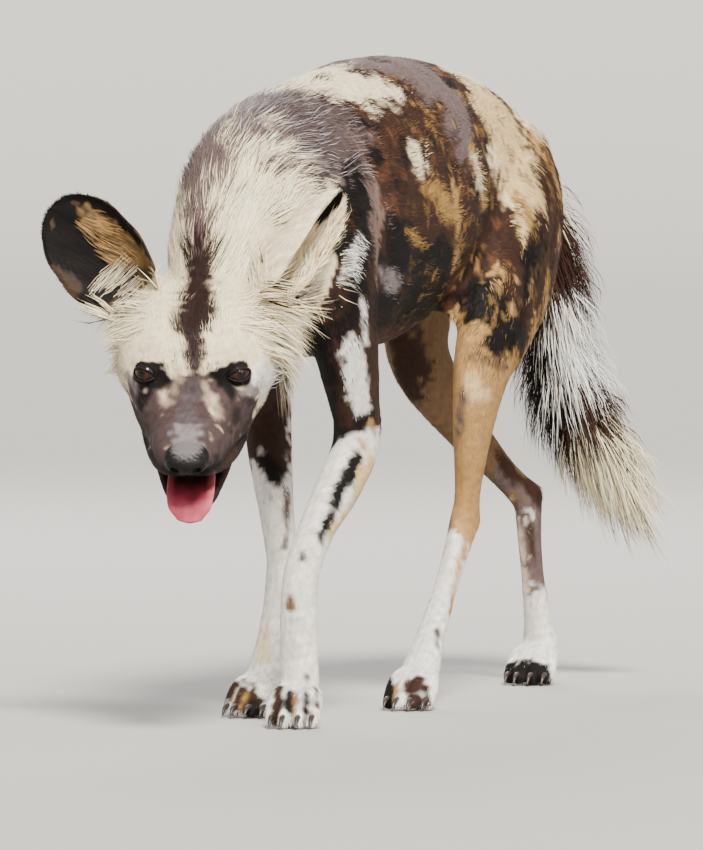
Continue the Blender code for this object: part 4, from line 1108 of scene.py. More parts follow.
def flecked(points, colour):
    # Short streaks from the ribs back, fewer on the lower thigh: gold over the dark and brown over the light
    streaks = points * np.array([1.4, 1.0, 0.55])
    behind = smoothStep(0.06, points[:, 1] - 0.16) * smoothStep(0.03, points[:, 2] - 0.385)
    behind *= 1 - 0.75 * smoothStep(0.03, points[:, 1] - 0.33) * smoothStep(0.03, 0.52 - points[:, 2])
    flecks = waves(streaks, 0.013, 41) + 0.6 * waves(streaks, 0.036, 42)
    dark = colour[:, 0] < 0.12
    colour = painted(colour, "gold", 0.70 * smoothStep(0.5, flecks - 1.65) * behind * dark)
    light = colour[:, 0] > 0.25
    return painted(colour, "brown", 0.65 * smoothStep(0.5, -flecks - 1.30) * behind * light)


def eyeRims(points, colour, ripple):
    # Dark skin round each eye, drawn out to its inner corner
    for side in ("left", "right"):
        centre, gaze, across, high = eyePlace(side)
        rim = centre + gaze * 0.009 + high * 0.001
        mask = patch(points, rim + across * 0.002, rim - across * 0.017, 0.0128, ripple, 0.002)
        colour = painted(colour, "black", mask)
    return colour


def coatTint(points, nearest, soft):
    # Every test is made on points moved a few millimetres by waves, so that no patch keeps a straight edge
    ground = np.array([tints[spec["ground"]] for spec in paths.values()])
    colour = ground[samples["path"][nearest]]
    coarse, fine = waves(points, 0.045, 1), waves(points, 0.013, 2)
    ripple = 0.75 * coarse + 0.45 * fine
    onTrunk = samples["path"][nearest] == pathNames.index("trunk")
    for tint, size, seed, level in (("redBrown", 0.034, 21, 0.75), ("black", 0.040, 22, 0.85)):
        mottle = smoothStep(0.5, waves(points, size, seed) + 0.4 * fine - level)
        colour = painted(colour, tint, mottle * onTrunk)
    bend = np.stack([waves(points, 0.028, 23 + k) for k in range(3)], 1)
    for tint, start, end, size in inMetres(bodyMarks):
        bent = points + 0.0034 * min(1, (size / 0.018) ** 2) * bend
        colour = painted(colour, tint, patch(bent, start, end, size, ripple, soft + 0.08 * size))
    colour = flecked(points, colour)
    colour = tailTint(points, nearest, colour, coarse)
    places = toHead(points)
    bent = places + 0.0011 * bend
    for tint, start, end, size in inMetres(headMarks):
        mask = patch(bent, start, end, size, 0.6 * fine, 0.5 * soft + 0.0015 + 0.15 * size)
        colour = painted(colour, tint, mask)
    colour = eyeRims(points, colour, 0.35 * fine)
    colour = earTint(points, places, colour, fine)
    colour = colour * (1 + 0.10 * waves(points, 0.009, 27))[:, None]
    return painted(colour, "mouth", inMouth(points))


def setColours(mesh, name, values):
    layer = mesh.attributes.new(name, "FLOAT_COLOR", "POINT")
    layer.data.foreach_set("color", values.astype(np.float32).ravel())


def setVectors(mesh, name, values):
    layer = mesh.attributes.new(name, "FLOAT_VECTOR", "POINT")
    layer.data.foreach_set("vector", values.astype(np.float32).ravel())


def skinFields():
    # Colour for each point of the skin, and its place along and around the path it belongs to
    points = pointsOf(skin.data) - shift
    _, _, nearest = follow(points)
    colour = coatTint(points, nearest, 0.0025)
    setColours(skin.data, "furColour", np.c_[colour, np.ones(len(points))])
    offset = points - samples["centre"][nearest]
    along = samples["length"][nearest] + (offset * samples["along"][nearest]).sum(1)
    angle = np.arctan2((offset * samples["side"][nearest]).sum(1), (offset * samples["high"][nearest]).sum(1))
    around = angle * samples["radius"][nearest]
    setVectors(skin.data, "furWay", np.stack([along, around, samples["path"][nearest]], 1))


skinFields()
print("markings")

# ---- shaders

class Value:
    # A number that varies over a surface; each operator adds its Math node
    def __init__(self, tree, socket):
        self.tree, self.socket = tree, socket

    def math(self, operation, first, second):
        node = self.tree.nodes.new("ShaderNodeMath")
        node.operation = operation
        for socket, value in zip(node.inputs, (first, second)):
            if isinstance(value, Value):
                self.tree.links.new(value.socket, socket)
            else:
                socket.default_value = value
        return Value(self.tree, node.outputs[0])

    def __add__(self, other):
        return self.math("ADD", self, other)

    __radd__ = __add__

    def __sub__(self, other):
        return self.math("SUBTRACT", self, other)

    def __rsub__(self, other):
        return self.math("SUBTRACT", other, self)

    def __mul__(self, other):
        return self.math("MULTIPLY", self, other)

    __rmul__ = __mul__


class Finish:
    # A material with one Principled shader; add() makes any node from its type, settings and sockets
    def __init__(self, name, **constants):
        self.material = bpy.data.materials.new(name)
        self.material.use_nodes = True
        self.tree = self.material.node_tree
        self.shader = self.tree.nodes["Principled BSDF"]
        for socket, value in constants.items():
            self.shader.inputs[socket.replace("_", " ")].default_value = value

    def add(self, kind, settings=None, sockets=None):
        node = self.tree.nodes.new(kind)
        for key, value in (settings or {}).items():
            if key == "stops":
                ramp = node.color_ramp
                while len(ramp.elements) < len(value):
                    ramp.elements.new(0.5)
                for element, (place, colour) in zip(ramp.elements, value):
                    element.position, element.color = place, (*colour, 1)
            else:
                setattr(node, key, value)
        for key, value in (sockets or {}).items():
            self.give(node.inputs[key], value)
        return node

    def give(self, socket, value):
        if isinstance(value, Value):
            value = value.socket
        if isinstance(value, bpy.types.NodeSocket):
            self.tree.links.new(value, socket)
        else:
            socket.default_value = value

    def feed(self, name, value):
        self.give(self.shader.inputs[name], value)

    def value(self, socket):
        return Value(self.tree, socket)

    def mix(self, factor, first, second, blend="MIX"):
        node = self.add("ShaderNodeMix", {"data_type": "RGBA", "blend_type": blend})
        self.give(node.inputs[0], factor)
        self.give(node.inputs[6], first)
        self.give(node.inputs[7], second)
        return node.outputs[2]

    def attribute(self, name):
        return self.add("ShaderNodeAttribute", {"attribute_name": name}).outputs

    def apart(self, vector):
        return self.add("ShaderNodeSeparateXYZ", None, {"Vector": vector}).outputs

    def stretched(self, vector, scale):
        return self.add("ShaderNodeMapping", None, {"Vector": vector, "Scale": scale}).outputs[0]

    def noise(self, vector, scale, detail, roughness=0.5):
        sockets = {"Vector": vector, "Scale": scale, "Detail": detail, "Roughness": roughness}
        return self.value(self.add("ShaderNodeTexNoise", None, sockets).outputs[0])

    def ramp(self, factor, *stops):
        return self.add("ShaderNodeValToRGB", {"stops": stops}, {"Fac": factor}).outputs[0]

    def raised(self, height, strength, distance):
        sockets = {"Height": height, "Strength": strength, "Distance": distance}
        self.feed("Normal", self.add("ShaderNodeBump", None, sockets).outputs[0])


plain = (1.0, 1.0, 1.0)


def skinFinish():
    # Noise drawn out along the hair shades the skin and raises it
    finish = Finish("skin", Specular_IOR_Level=0.14)
    way = finish.stretched(finish.attribute("furWay")["Vector"], (160, 1500, 1))
    hair = finish.noise(way, 1.0, 3.0, 0.6)
    shade = finish.ramp(hair, (0.30, (0.42, 0.40, 0.38)), (0.70, plain))
    colour = finish.attribute("furColour")["Color"]
    finish.feed("Base Color", finish.mix(0.8, colour, shade, "MULTIPLY"))
    finish.feed("Roughness", hair * 0.25 + 0.55)
    finish.raised(hair, 0.7, 0.0012)
    return finish.material


def coatFinish():
    # Tufts are darker at the root, a painted shade deep in the coat, and smoother towards the tip
    finish = Finish("coat", Specular_IOR_Level=0.16)
    fur = finish.attribute("furColour")
    share = finish.value(fur["Alpha"])
    # Painted shade: each tuft darkens towards its root
    shade = finish.ramp(share, (0.0, (0.66, 0.63, 0.60)), (0.35, (0.97, 0.97, 0.97)), (1.0, plain))
    finish.feed("Base Color", finish.mix(1.0, fur["Color"], shade, "MULTIPLY"))
    finish.feed("Roughness", 0.68 - share * 0.14)
    return finish.material


skin.data.materials.clear()
skin.data.materials.append(skinFinish())
coatMaterial = coatFinish()

# ---- tufts

tuft = {
    "sunk": 0.0010,                      # its root below the skin
    "bend": 0.45,                        # how much of its lift it loses towards the tip
    "ridge": 0.55,                       # its ridge's height against its half width
    "lean": 0.22,                        # of the normals to each side
    "lowest": 0.0006,                    # its points above the ground
    "patch": 0.0013,                     # half the width of its patch of the bake map
}


def tuftShapes(root, normal, flow, length, width, lift, roll, pull, shares, full):
    # A flat three-sided prism along root + L (flow s cos a + normal (s - b s^2) sin a) + pull s^2, drawn
    # to a point. Each ring is left, right and ridge, turned by the roll about the flow, and its normals lean
    # towards the skin's
    count, rings = len(root), len(shares)
    across = normed(np.cross(normal, flow))
    aside = across * np.cos(roll)[:, None] + normal * np.sin(roll)[:, None]
    ridge = normal * np.cos(roll)[:, None] - across * np.sin(roll)[:, None]
    points = np.empty((count, 3 * rings + 1, 3))
    shading = np.repeat(normal[:, None], 3 * rings + 1, 1)
    for k, share in enumerate(list(shares) + [1.0]):
        rise = length * (share - tuft["bend"] * share**2) * np.sin(lift)
        hub = (root - normal * tuft["sunk"] + flow * (length * share * np.cos(lift))[:, None]
               + normal * rise[:, None] + pull * share**2)
        if k == rings:
            points[:, -1] = hub
        else:
            half = (width * full[k] / 2)[:, None]
            points[:, 3 * k] = hub - aside * half
            points[:, 3 * k + 1] = hub + aside * half
            points[:, 3 * k + 2] = hub + ridge * half * tuft["ridge"]
            shading[:, 3 * k] -= aside * tuft["lean"]
            shading[:, 3 * k + 1] += aside * tuft["lean"]
    points[..., 2] = np.maximum(points[..., 2], tuft["lowest"])
    one = [(0, 2, 1)]
    for k in range(rings - 1):
        for a, b in ((0, 1), (1, 2), (2, 0)):
            low, high = 3 * k, 3 * k + 3
            one += [(low + a, low + b, high + b), (low + a, high + b, high + a)]
    last = 3 * rings - 3
    one += [(last + a, last + b, 3 * rings) for a, b in ((0, 1), (1, 2), (2, 0))]
    faces = np.array(one)[None] + (np.arange(count) * (3 * rings + 1))[:, None, None]
    return points, faces.reshape(-1, 3), normed(shading)


def tuftObject(name, shapes, tint, uv, shares):
    # Joins tufts into one mesh, with their colour, the share along each and a small patch of the bake map
    points, faces, shading = shapes
    count, per = points.shape[:2]
    rings = len(shares)
    thing = meshObject(name, points.reshape(-1, 3), faces)
    along = np.r_[np.repeat(shares, 3), 1.0]
    colour = np.empty((count, per, 4))
    colour[..., :3] = tint[:, None]
    colour[..., 3] = along
    setColours(thing.data, "furColour", colour.reshape(-1, 4))
    aside = np.r_[np.tile([-tuft["patch"], tuft["patch"], 0.0], rings), 0.0]
    place = uv[:, None] + np.stack([aside, (along - 0.5) * 2 * tuft["patch"]], 1)
    layer = thing.data.uv_layers.new(name="OFBake")
    layer.data.foreach_set("uv", place.reshape(-1, 2)[faces.ravel()].astype(np.float32).ravel())
    thing.data.normals_split_custom_set_from_vertices(shading.reshape(-1, 3))
    thing.data.materials.append(coatMaterial)
    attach(thing, "root")
    return len(faces)


def skinTriangles():
    # Corners, normals and bake-map corners of the skin's triangles
    mesh = skin.data
    points, faces = pointsOf(mesh) - shift, trianglesOf(mesh)
    uv = np.empty(len(mesh.loops) * 2, np.float32)
    mesh.uv_layers["OFBake"].data.foreach_get("uv", uv)
    loops = np.empty(len(mesh.loop_triangles) * 3, np.int32)
    mesh.loop_triangles.foreach_get("loops", loops)
    normals = np.empty(len(mesh.vertices) * 3, np.float32)
    mesh.vertex_normals.foreach_get("vector", normals)
    return points[faces], normals.reshape(-1, 3)[faces], uv.reshape(-1, 2)[loops].reshape(-1, 3, 2)


corners, cornerNormals, cornerUv = skinTriangles()
middles = corners.mean(1)
areas = np.linalg.norm(np.cross(corners[:, 1] - corners[:, 0], corners[:, 2] - corners[:, 0]), axis=1) / 2


def scattered(perArea, draw):
    # Even steps along the running total of expected tufts, each put at random inside its triangle
    total = np.cumsum(perArea * areas)
    count = int(total[-1])
    which = np.searchsorted(total, (np.arange(count) + draw.random(count)) * total[-1] / count)
    which = np.minimum(which, len(areas) - 1)
    a, b = draw.random((2, count))
    flip = a + b > 1
    a, b = np.where(flip, 1 - a, a), np.where(flip, 1 - b, b)
    weights = np.stack([1 - a - b, a, b], 1)[..., None]
    return ((corners[which] * weights).sum(1), normed((cornerNormals[which] * weights).sum(1)),
            (cornerUv[which] * weights).sum(1))


def varied(tint, draw, spread=0.10):
    # Each tuft is a little lighter or darker, warmer or cooler
    value = np.clip(draw.normal(1, spread, (len(tint), 1)), 0.6, 1.4)
    warm = draw.normal(0, 0.03, (len(tint), 1)) * np.array([1, 0, -1])
    return np.clip(tint * (value + warm), 0.003, 0.9)


def clumped(root, tip, spacing, share, draw):
    # The pull that brings each tip a share of the way to the tip of the leader nearest its root
    leaders = draw.permutation(len(root))[:max(int(len(root) / spacing), 1)]
    tree = KDTree(len(leaders))
    for k, place in enumerate(root[leaders]):
        tree.insert(place, k)
    tree.balance()
    nearest = leaders[np.array([tree.find(place)[1] for place in root])]
    return (tip[nearest] - tip) * share


# Groups of the coat with their slot
groups = {"trunk": "brown_fur", "neck": "cream_fur", "forelegs": "white_fur", "hindlegs": "tan_fur",
          "tail": "cream_fur", "head": "face_fur", "ears": "dark_fur"}
groupNames = list(groups)
# Kinds of tuft: its longest length, and the shares of its rings and their widths
kinds = [(0.0215, (0.0,), (1.0,)), (0.062, (0.0, 0.5), (0.75, 1.0)),
         (1.0, (0.0, 0.35, 0.7), (0.7, 1.0, 0.75))]
mostTriangles = 190000                   # in one piece of the coat
coatParts = []


def grow(root, normal, uv, flow, length, width, lift, tint, group, pull):
    # Keeps tufts for makeCoat, each turned a little about its own line
    count = len(root)
    coatParts.append({
        "root": root, "normal": normal, "uv": uv, "flow": flow, "length": length, "width": width,
        "lift": lift, "roll": rng.normal(0, coat["roll"], count), "tint": tint,
        "group": np.broadcast_to(group, count), "pull": pull})


def makeCoat():
    # Joins the tufts of each group and kind, from the nose back, into pieces below the most triangles
    whole = {key: np.concatenate([part[key] for part in coatParts]) for key in coatParts[0]}
    needed = ("root", "normal", "flow", "length", "width", "lift", "roll", "pull")
    total = 0
    for number, (group, slot) in enumerate(groups.items()):
        shortest, piece = 0.0, 0
        for longest, shares, full in kinds:
            ofKind = (whole["length"] > shortest) & (whole["length"] <= longest)
            chosen = np.flatnonzero((whole["group"] == number) & ofKind)
            shortest = longest
            if not len(chosen):
                continue
            chosen = chosen[np.argsort(whole["root"][chosen, 1])]
            pieces = int(np.ceil(len(chosen) * (6 * len(shares) - 2) / mostTriangles))
            for part in np.array_split(chosen, pieces):
                piece += 1
                shapes = tuftShapes(*(whole[key][part] for key in needed), shares, full)
                tint, uv = whole["tint"][part], whole["uv"][part]
                total += tuftObject(f"coat_{group}_{piece}", shapes, tint, uv, shares)
    print("coat", len(whole["root"]), "tufts,", total, "triangles")


def groupsAt(points, nearest):
    table = np.array([groupNames.index(spec["group"]) for spec in paths.values()])
    found = table[samples["path"][nearest]]
    for side in ears:
        found[earPlace(points, side)[0]] = groupNames.index("ears")
    return found


def bare(points):
    # No hair grows in the mouth, on the eyes, under the nose pad or on the soles
    clear = inMouth(points) | (points[:, 2] < 0.004)
    for side in ("left", "right"):
        centre, gaze, across, high = eyePlace(side)
        q = points - centre
        almond = np.hypot(q @ across / (eyes["halfWidth"] * 1.12), q @ high / (eyes["halfHeight"] * 1.22))
        clear |= (almond < 1) & (q @ gaze > 0)
    f, l, u = toHead(points).T
    return clear | ((f > 0.088) & (u > -0.046) & (np.abs(l) < 0.020))


def bodyCoat():
    # The coat all over, from the hair that each path carries
    _, hair, _ = follow(middles)
    perArea = hair[:, 3] / (coat["cover"] * hair[:, 1] * hair[:, 0]) * 1.0
    perArea[bare(middles)] = 0
    root, normal, uv = scattered(perArea, rng)
    lie, hair, nearest = follow(root)
    count, group = len(root), groupsAt(root, nearest)
    turn = 0.20 * waves(root, 0.07, 5) + 0.12 * waves(root, 0.018, 6) + rng.normal(0, coat["stray"], count)
    flow = alongSkin(lie, normal, turn)
    length = hair[:, 0] * rng.uniform(0.75, 1.2, count)
    width = hair[:, 1] * rng.uniform(0.8, 1.15, count) * 1.0
    lift = np.radians(hair[:, 2] * (1 + 0.25 * waves(root, 0.03, 7)) * rng.uniform(0.7, 1.3, count))
    reach = np.where(group == groupNames.index("head"), coat["steady"], 1) * length
    along, across = coat["wander"]
    looked = root + flow * (rng.normal(0, along, count) * reach)[:, None]
    looked += np.cross(normal, flow) * (rng.normal(0, across, count) * reach)[:, None]
    tint = varied(coatTint(looked, nearest, 0.0008), rng)
    tip = root + flow * length[:, None]
    pull = clumped(root, tip, *coat["clump"], rng)
    pull *= np.minimum(1, 0.4 * length / np.maximum(np.linalg.norm(pull, axis=1), 1e-9))[:, None]
    grow(root, normal, uv, flow, length, width, lift, tint, group, pull)


# Long hair over the coat: tufts to a square metre, spans of length and width in metres and of lift in
# degrees, how far a clump's tips draw together and how much they hang, the seed of the draws and the group
longHairs = {
    "cheekLeft": {"perArea": 210000, "length": (0.034, 0.064), "width": (0.0007, 0.0011), "lift": (8, 24),
                  "clump": 0.35, "droop": 0.06, "seed": 4, "group": "head"},
    "cheekRight": {"perArea": 210000, "length": (0.030, 0.056), "width": (0.0007, 0.0011), "lift": (8, 24),
                   "clump": 0.35, "droop": 0.06, "seed": 2, "group": "head"},
    "fanLeft": {"perArea": 170000, "length": (0.046, 0.078), "width": (0.0007, 0.0011), "lift": (2, 26),
                "clump": 0.40, "droop": 0.12, "seed": 21, "group": "head"},
    "neck": {"perArea": 150000, "length": (0.036, 0.060), "width": (0.0007, 0.0010), "lift": (5, 13),
             "clump": 0.30, "droop": 0.0, "seed": 5, "group": "neck"},
    "mane": {"perArea": 80000, "length": (0.024, 0.040), "width": (0.0006, 0.0009), "lift": (7, 15),
             "clump": 0.25, "droop": 0.0, "seed": 6, "group": "neck"},
    "throat": {"perArea": 60000, "length": (0.022, 0.038), "width": (0.0009, 0.0013), "lift": (10, 22),
               "clump": 0.3, "droop": 0.0, "seed": 7, "group": "neck"},
    "tailBrush": {"perArea": 230000, "length": (0.055, 0.112), "width": (0.0009, 0.0014), "lift": (16, 74),
                  "clump": 0.18, "droop": 0.12, "seed": 8, "group": "tail"},
    "tailRoot": {"perArea": 110000, "length": (0.032, 0.056), "width": (0.0009, 0.0014), "lift": (22, 50),
                 "clump": 0.30, "droop": 0.15, "seed": 9, "group": "tail"},
    "earWisps": {"perArea": 190000, "length": (0.030, 0.056), "width": (0.0004, 0.0007), "lift": (6, 26),
                 "clump": 0.16, "droop": 0.34, "seed": 12, "group": "ears"},
    "earFringe": {"perArea": 130000, "length": (0.016, 0.030), "width": (0.0006, 0.0010), "lift": (10, 26),
                  "clump": 0.4, "droop": 0.0, "seed": 13, "group": "ears"},
    "earDeep": {"perArea": 190000, "length": (0.018, 0.034), "width": (0.0007, 0.0011), "lift": (30, 66),
                "clump": 0.35, "droop": 0.0, "seed": 14, "group": "ears"},
    "whiskers": {"perArea": 9000, "length": (0.018, 0.032), "width": (0.00035, 0.0005), "lift": (30, 60),
                 "clump": 0.0, "droop": 0.0, "seed": 15, "group": "head"},
}
reachLeft = 0.158                        # hair gets shorter past this, to stay near the solids' left side


def ownTint(root, draw):
    return varied(coatTint(root + draw.normal(0, 0.003, root.shape), follow(root)[2], 0.001), draw)


def mixedTint(**odds):
    # Hairs of several tints, each with its share of them
    table = np.array([tints[name] for name in odds])
    share = list(odds.values())
    return lambda root, draw: varied(table[draw.choice(len(table), len(root), p=share)], draw, 0.14)


# Silver hairs are partly pale hair and partly a painted sheen
def silverTint(root, draw):
    tint = ownTint(root, draw)
    silver = draw.random(len(root)) < 0.24
    tint[silver] = np.array(tints["silver"]) * draw.uniform(0.6, 1.2, (silver.sum(), 1))
    return tint


def coatLie(points):
    return follow(points)[0]


def longHair(name, mask, lie, tint=ownTint):
    # It grows where the mask says on the skin's triangles, and points along the lie
    spec = longHairs[name]
    draw = np.random.default_rng(spec["seed"])
    perArea = np.where(bare(middles), 0, mask) * spec["perArea"] * 1
    root, normal, uv = scattered(perArea, draw)
    count = len(root)
    turn = 0.14 * waves(root, 0.035, 8 + spec["seed"]) + draw.normal(0, 0.08, count)
    flow = alongSkin(np.broadcast_to(lie(root) if callable(lie) else lie, root.shape), normal, turn)
    length = draw.uniform(*spec["length"], count)
    beyond = np.maximum(root[:, 0] + flow[:, 0] * length - reachLeft, 0)
    length = np.maximum(length - beyond / np.maximum(flow[:, 0], 0.3), 0.010)
    lift = np.radians(draw.uniform(*spec["lift"], count))
    tip = root + flow * length[:, None] + normal * (length * np.sin(lift))[:, None]
    pull = clumped(root, tip, 14, spec["clump"], draw)
    pull *= np.minimum(1, 0.45 * length / np.maximum(np.linalg.norm(pull, axis=1), 1e-9))[:, None]
    pull[:, 2] -= spec["droop"] * length
    width = draw.uniform(*spec["width"], count)
    group = groupNames.index(spec["group"])
    grow(root, normal, uv, flow, length, width, lift, tint(root, draw), group, pull)


def bump(value, middle, reach):
    return np.clip(1 - np.abs((value - middle) / reach), 0, 1)


def ruffs():
    # Long soft hair that fans out from the cheeks, and back over the neck
    f, l, u = toHead(middles).T
    offEars = ~(earPlace(middles, "left")[0] | earPlace(middles, "right")[0])
    for name, sign in (("cheekLeft", 1), ("cheekRight", -1)):
        cheek = bump(f, -0.064, 0.052) * (l * sign > 0.035) * bump(u, 0.000, 0.050) * offEars
        longHair(name, cheek, axes[1] * sign * 0.85 - axes[0] * 0.45 - axes[2] * 0.38)
    fan = bump(f, -0.070, 0.048) * (l > 0.045) * bump(u, 0.010, 0.046) * offEars
    longHair("fanLeft", fan, axes[1] * 0.95 - axes[2] * 0.34 - axes[0] * 0.10,
             mixedTint(cream=0.8, straw=0.2))
    first, last = np.array(neckRows[0][:3]), np.array(neckRows[3][:3])
    alongNeck = (middles - first) @ normed(last - first)
    onNeck = (samples["path"][follow(middles)[2]] == pathNames.index("neck")) & offEars
    longHair("neck", onNeck * bump(alongNeck, 0.06, 0.11), coatLie)


def mane():
    # Bristles over the withers and the shoulder blades, some of them silver: partly pale hair and partly a
    # painted sheen
    mask = bump(middles[:, 1], -0.040, 0.110) * (middles[:, 2] > 0.545) * (toHead(middles)[:, 0] < -0.13)
    longHair("mane", mask, np.array([0, 1, -0.08]), silverTint)


def throat():
    # Shaggy hair below the throat and along the chest
    x, y, z = middles.T
    mask = bump(y, -0.110, 0.110) * (z < 0.46) * (z > 0.36) * (np.abs(x - 0.02) < 0.06)
    longHair("throat", mask * (toHead(middles)[:, 0] < -0.02), np.array([0, 0.75, -0.65]))


def tailHair():
    # The brush, and the pale fluff that stands out round the tail's root
    onTail, share = tailShare(follow(middles)[2])
    longHair("tailBrush", onTail * np.clip(share * 4 - 0.4, 0, 1), coatLie)
    longHair("tailRoot", onTail * (share < 0.30), lambda points: coatLie(points) + np.array([0.2, 0.2, 0]))


def earHair():
    # Pale wisps across each ear's opening, the right ear's golden fringe and the left ear's deep fur
    for side, sign in (("right", 1), ("left", -1)):
        there, share, aside, inner = earPlace(middles, side)
        _, axis, _, across, _ = earAxes(side)
        hollow = there & inner
        wisps = hollow & (share < 0.36) & (aside * sign > -0.15) & (aside * sign < 0.62)
        longHair("earWisps", wisps, -across * sign * 0.8 + axis * 0.25 + np.array([0, 0, -0.20]),
                 mixedTint(cream=0.72, paleGrey=0.18, earBrown=0.10))
        if side == "right":
            fringe = hollow & (share > 0.18) & (share < 0.66) & (aside > 0.05) & (aside < 0.84)
            tint = mixedTint(earGold=0.5, tan=0.25, earBrown=0.25)
            longHair("earFringe", fringe, axis - across * 0.25, tint)
        else:
            # The deep fur keeps out of the painted shadow under the left ear's front edge
            deep = hollow & (share < 0.90) & (aside > -0.55) & ~earSlitShadow(toHead(middles))
            deep &= (share < 0.60) | (aside > 0.84)
            longHair("earDeep", deep, axis - across * 0.30, mixedTint(straw=0.25, cream=0.75))


def whiskerLie(points):
    return normed(toHead(points)[:, 1:2] * axes[1]) * 0.7 - axes[0] * 0.5 - axes[2] * 0.2


def whiskers():
    # A few stiff hairs on the whisker pads, out to each side
    f, l, u = toHead(middles).T
    mask = bump(f, 0.078, 0.020) * (np.abs(l) > 0.016) * bump(u, -0.050, 0.018)
    longHair("whiskers", mask, whiskerLie, mixedTint(black=1.0))


bodyCoat()
ruffs()
mane()
throat()
tailHair()
earHair()
whiskers()
makeCoat()

# ---- eyes, nose, tongue and claws

# Degrees from the gaze, and in metres the height of the cornea and the radius of the lids' rim
eyeLook = {"iris": 40, "pupil": 17, "cornea": 0.0006, "rim": 0.0011}


def eyeball(side):
    # Circles about the gaze at polar angle p, of radius R + c (1 - (p / iris)^2)^2 for the cornea
    centre, gaze, across, high = eyePlace(side)
    polar = np.linspace(0, 180, 41)[1:-1]
    turn = np.linspace(0, 2 * math.pi, 48, endpoint=False)
    radius = eyes["radius"] + eyeLook["cornea"] * np.clip(1 - (polar / eyeLook["iris"]) ** 2, 0, 1) ** 2
    flat = np.cos(turn)[:, None] * across + np.sin(turn)[:, None] * high
    p = np.radians(polar)[:, None, None]
    rings = centre + radius[:, None, None] * (np.sin(p) * flat[None] + np.cos(p) * gaze)
    front = centre + gaze * (eyes["radius"] + eyeLook["cornea"])
    points, faces = closedRings(rings, front, centre - gaze * eyes["radius"])
    ball = meshObject("eyeball_" + side, *facingOut(points, faces))
    way = np.stack([np.repeat(polar / 60, 48), np.tile(turn, len(polar)), np.zeros(len(polar) * 48)], 1)
    setVectors(ball.data, "gazeWay", np.vstack([way, [[0, 0, 0], [3, 0, 0]]]))
    return ball


def eyeFinish():
    # A ramp over the angle from the gaze: pupil, brown iris with a dark edge, and the dark white of the eye
    finish = Finish("eye", Roughness=0.30, Specular_IOR_Level=0.12, Coat_Weight=0.35, Coat_Roughness=0.03)
    way = finish.attribute("gazeWay")["Vector"]
    pupil, iris = eyeLook["pupil"] / 60, eyeLook["iris"] / 60
    tone = finish.ramp(finish.apart(way)["X"], (pupil - 0.02, (0.003, 0.002, 0.002)),
                       (pupil + 0.02, (0.014, 0.005, 0.003)), (iris - 0.16, (0.046, 0.014, 0.004)),
                       (iris - 0.03, (0.016, 0.007, 0.004)), (iris + 0.02, (0.006, 0.004, 0.004)),
                       (0.98, (0.020, 0.013, 0.011)))
    fibre = finish.noise(finish.stretched(way, (4, 22, 1)), 1.0, 3.0)
    shade = finish.ramp(fibre, (0.30, (0.45, 0.42, 0.40)), (0.70, plain))
    finish.feed("Base Color", finish.mix(0.9, tone, shade, "MULTIPLY"))
    return finish.material


def lidRim(side):
    # A circle carried round the almond between the lids, laid on the eyeball
    centre, gaze, across, high = eyePlace(side)
    angle = np.linspace(0, 2 * math.pi, 72, endpoint=False)
    h = 1.03 * eyes["halfWidth"] * np.sign(np.cos(angle)) * np.abs(np.cos(angle)) ** (2 / eyes["power"])
    v = 1.06 * eyes["halfHeight"] * np.sign(np.sin(angle)) * np.abs(np.sin(angle)) ** (2 / eyes["power"])
    ahead = np.sqrt(np.maximum((eyes["radius"] + 0.0008) ** 2 - h**2 - v**2, 0.0028**2))
    line = centre + ahead[:, None] * gaze + h[:, None] * across + v[:, None] * high
    along = normed(np.roll(line, -1, 0) - np.roll(line, 1, 0))
    out = normed(line - centre - along * ((line - centre) * along).sum(1, keepdims=True))
    beside = np.cross(along, out)
    angle = np.linspace(0, 2 * math.pi, 10, endpoint=False)[None, :, None]
    rings = line[:, None] + eyeLook["rim"] * (np.cos(angle) * beside[:, None] + np.sin(angle) * out[:, None])
    number = np.arange(rings.shape[0] * rings.shape[1]).reshape(rings.shape[:2])
    return facingOut(rings.reshape(-1, 3), between(number, np.roll(number, -1, 0)))


nosePad = {
    "rows": ((0.094, -0.0365, 0.0205, 0.0120), (0.105, -0.0370, 0.0222, 0.0122),
             (0.1115, -0.0372, 0.0198, 0.0106)),
    "nostril": 0.0060,                   # depth of each nostril
    "groove": 0.0022,                    # depth of the line between them
}


def noseShape():
    # A rounded pad whose front sinks by d (1 - r^2)^1.5 at each nostril, less along the slit beside it, and
    # by g exp(-(l / 1.2 mm)^2) below its middle
    rows = [(*fromHead((f, 0, u)), wide, high) for f, u, wide, high in nosePad["rows"]]
    points, faces = closedTube(rows, across=axes[1], sides=120, perSpan=10, capRings=26, square=2.3)
    f, l, u = toHead(points).T
    u = u + 0.004
    front = np.clip((f - 0.105) / 0.006, 0, 1)
    sunk = nosePad["groove"] * np.exp(-(l / 0.0012) ** 2) * np.clip((-0.031 - u) / 0.004, 0, 1)
    for side in (1, -1):
        a, b = (l * side - 0.0105 - 0.35 * (u + 0.036)) / 0.0056, (u + 0.0362) / 0.0044
        sunk += nosePad["nostril"] * np.clip(1 - a * a - b * b, 0, 1) ** 1.5
        a, b = (l * side - 0.0165) / 0.0052, (u + 0.0402 - 0.10 * (l * side - 0.0165)) / 0.0017
        sunk += 0.0022 * np.clip(1 - a * a - b * b, 0, 1)
    return fromHead(np.stack([f - sunk * front, l, u - 0.004], 1)), faces


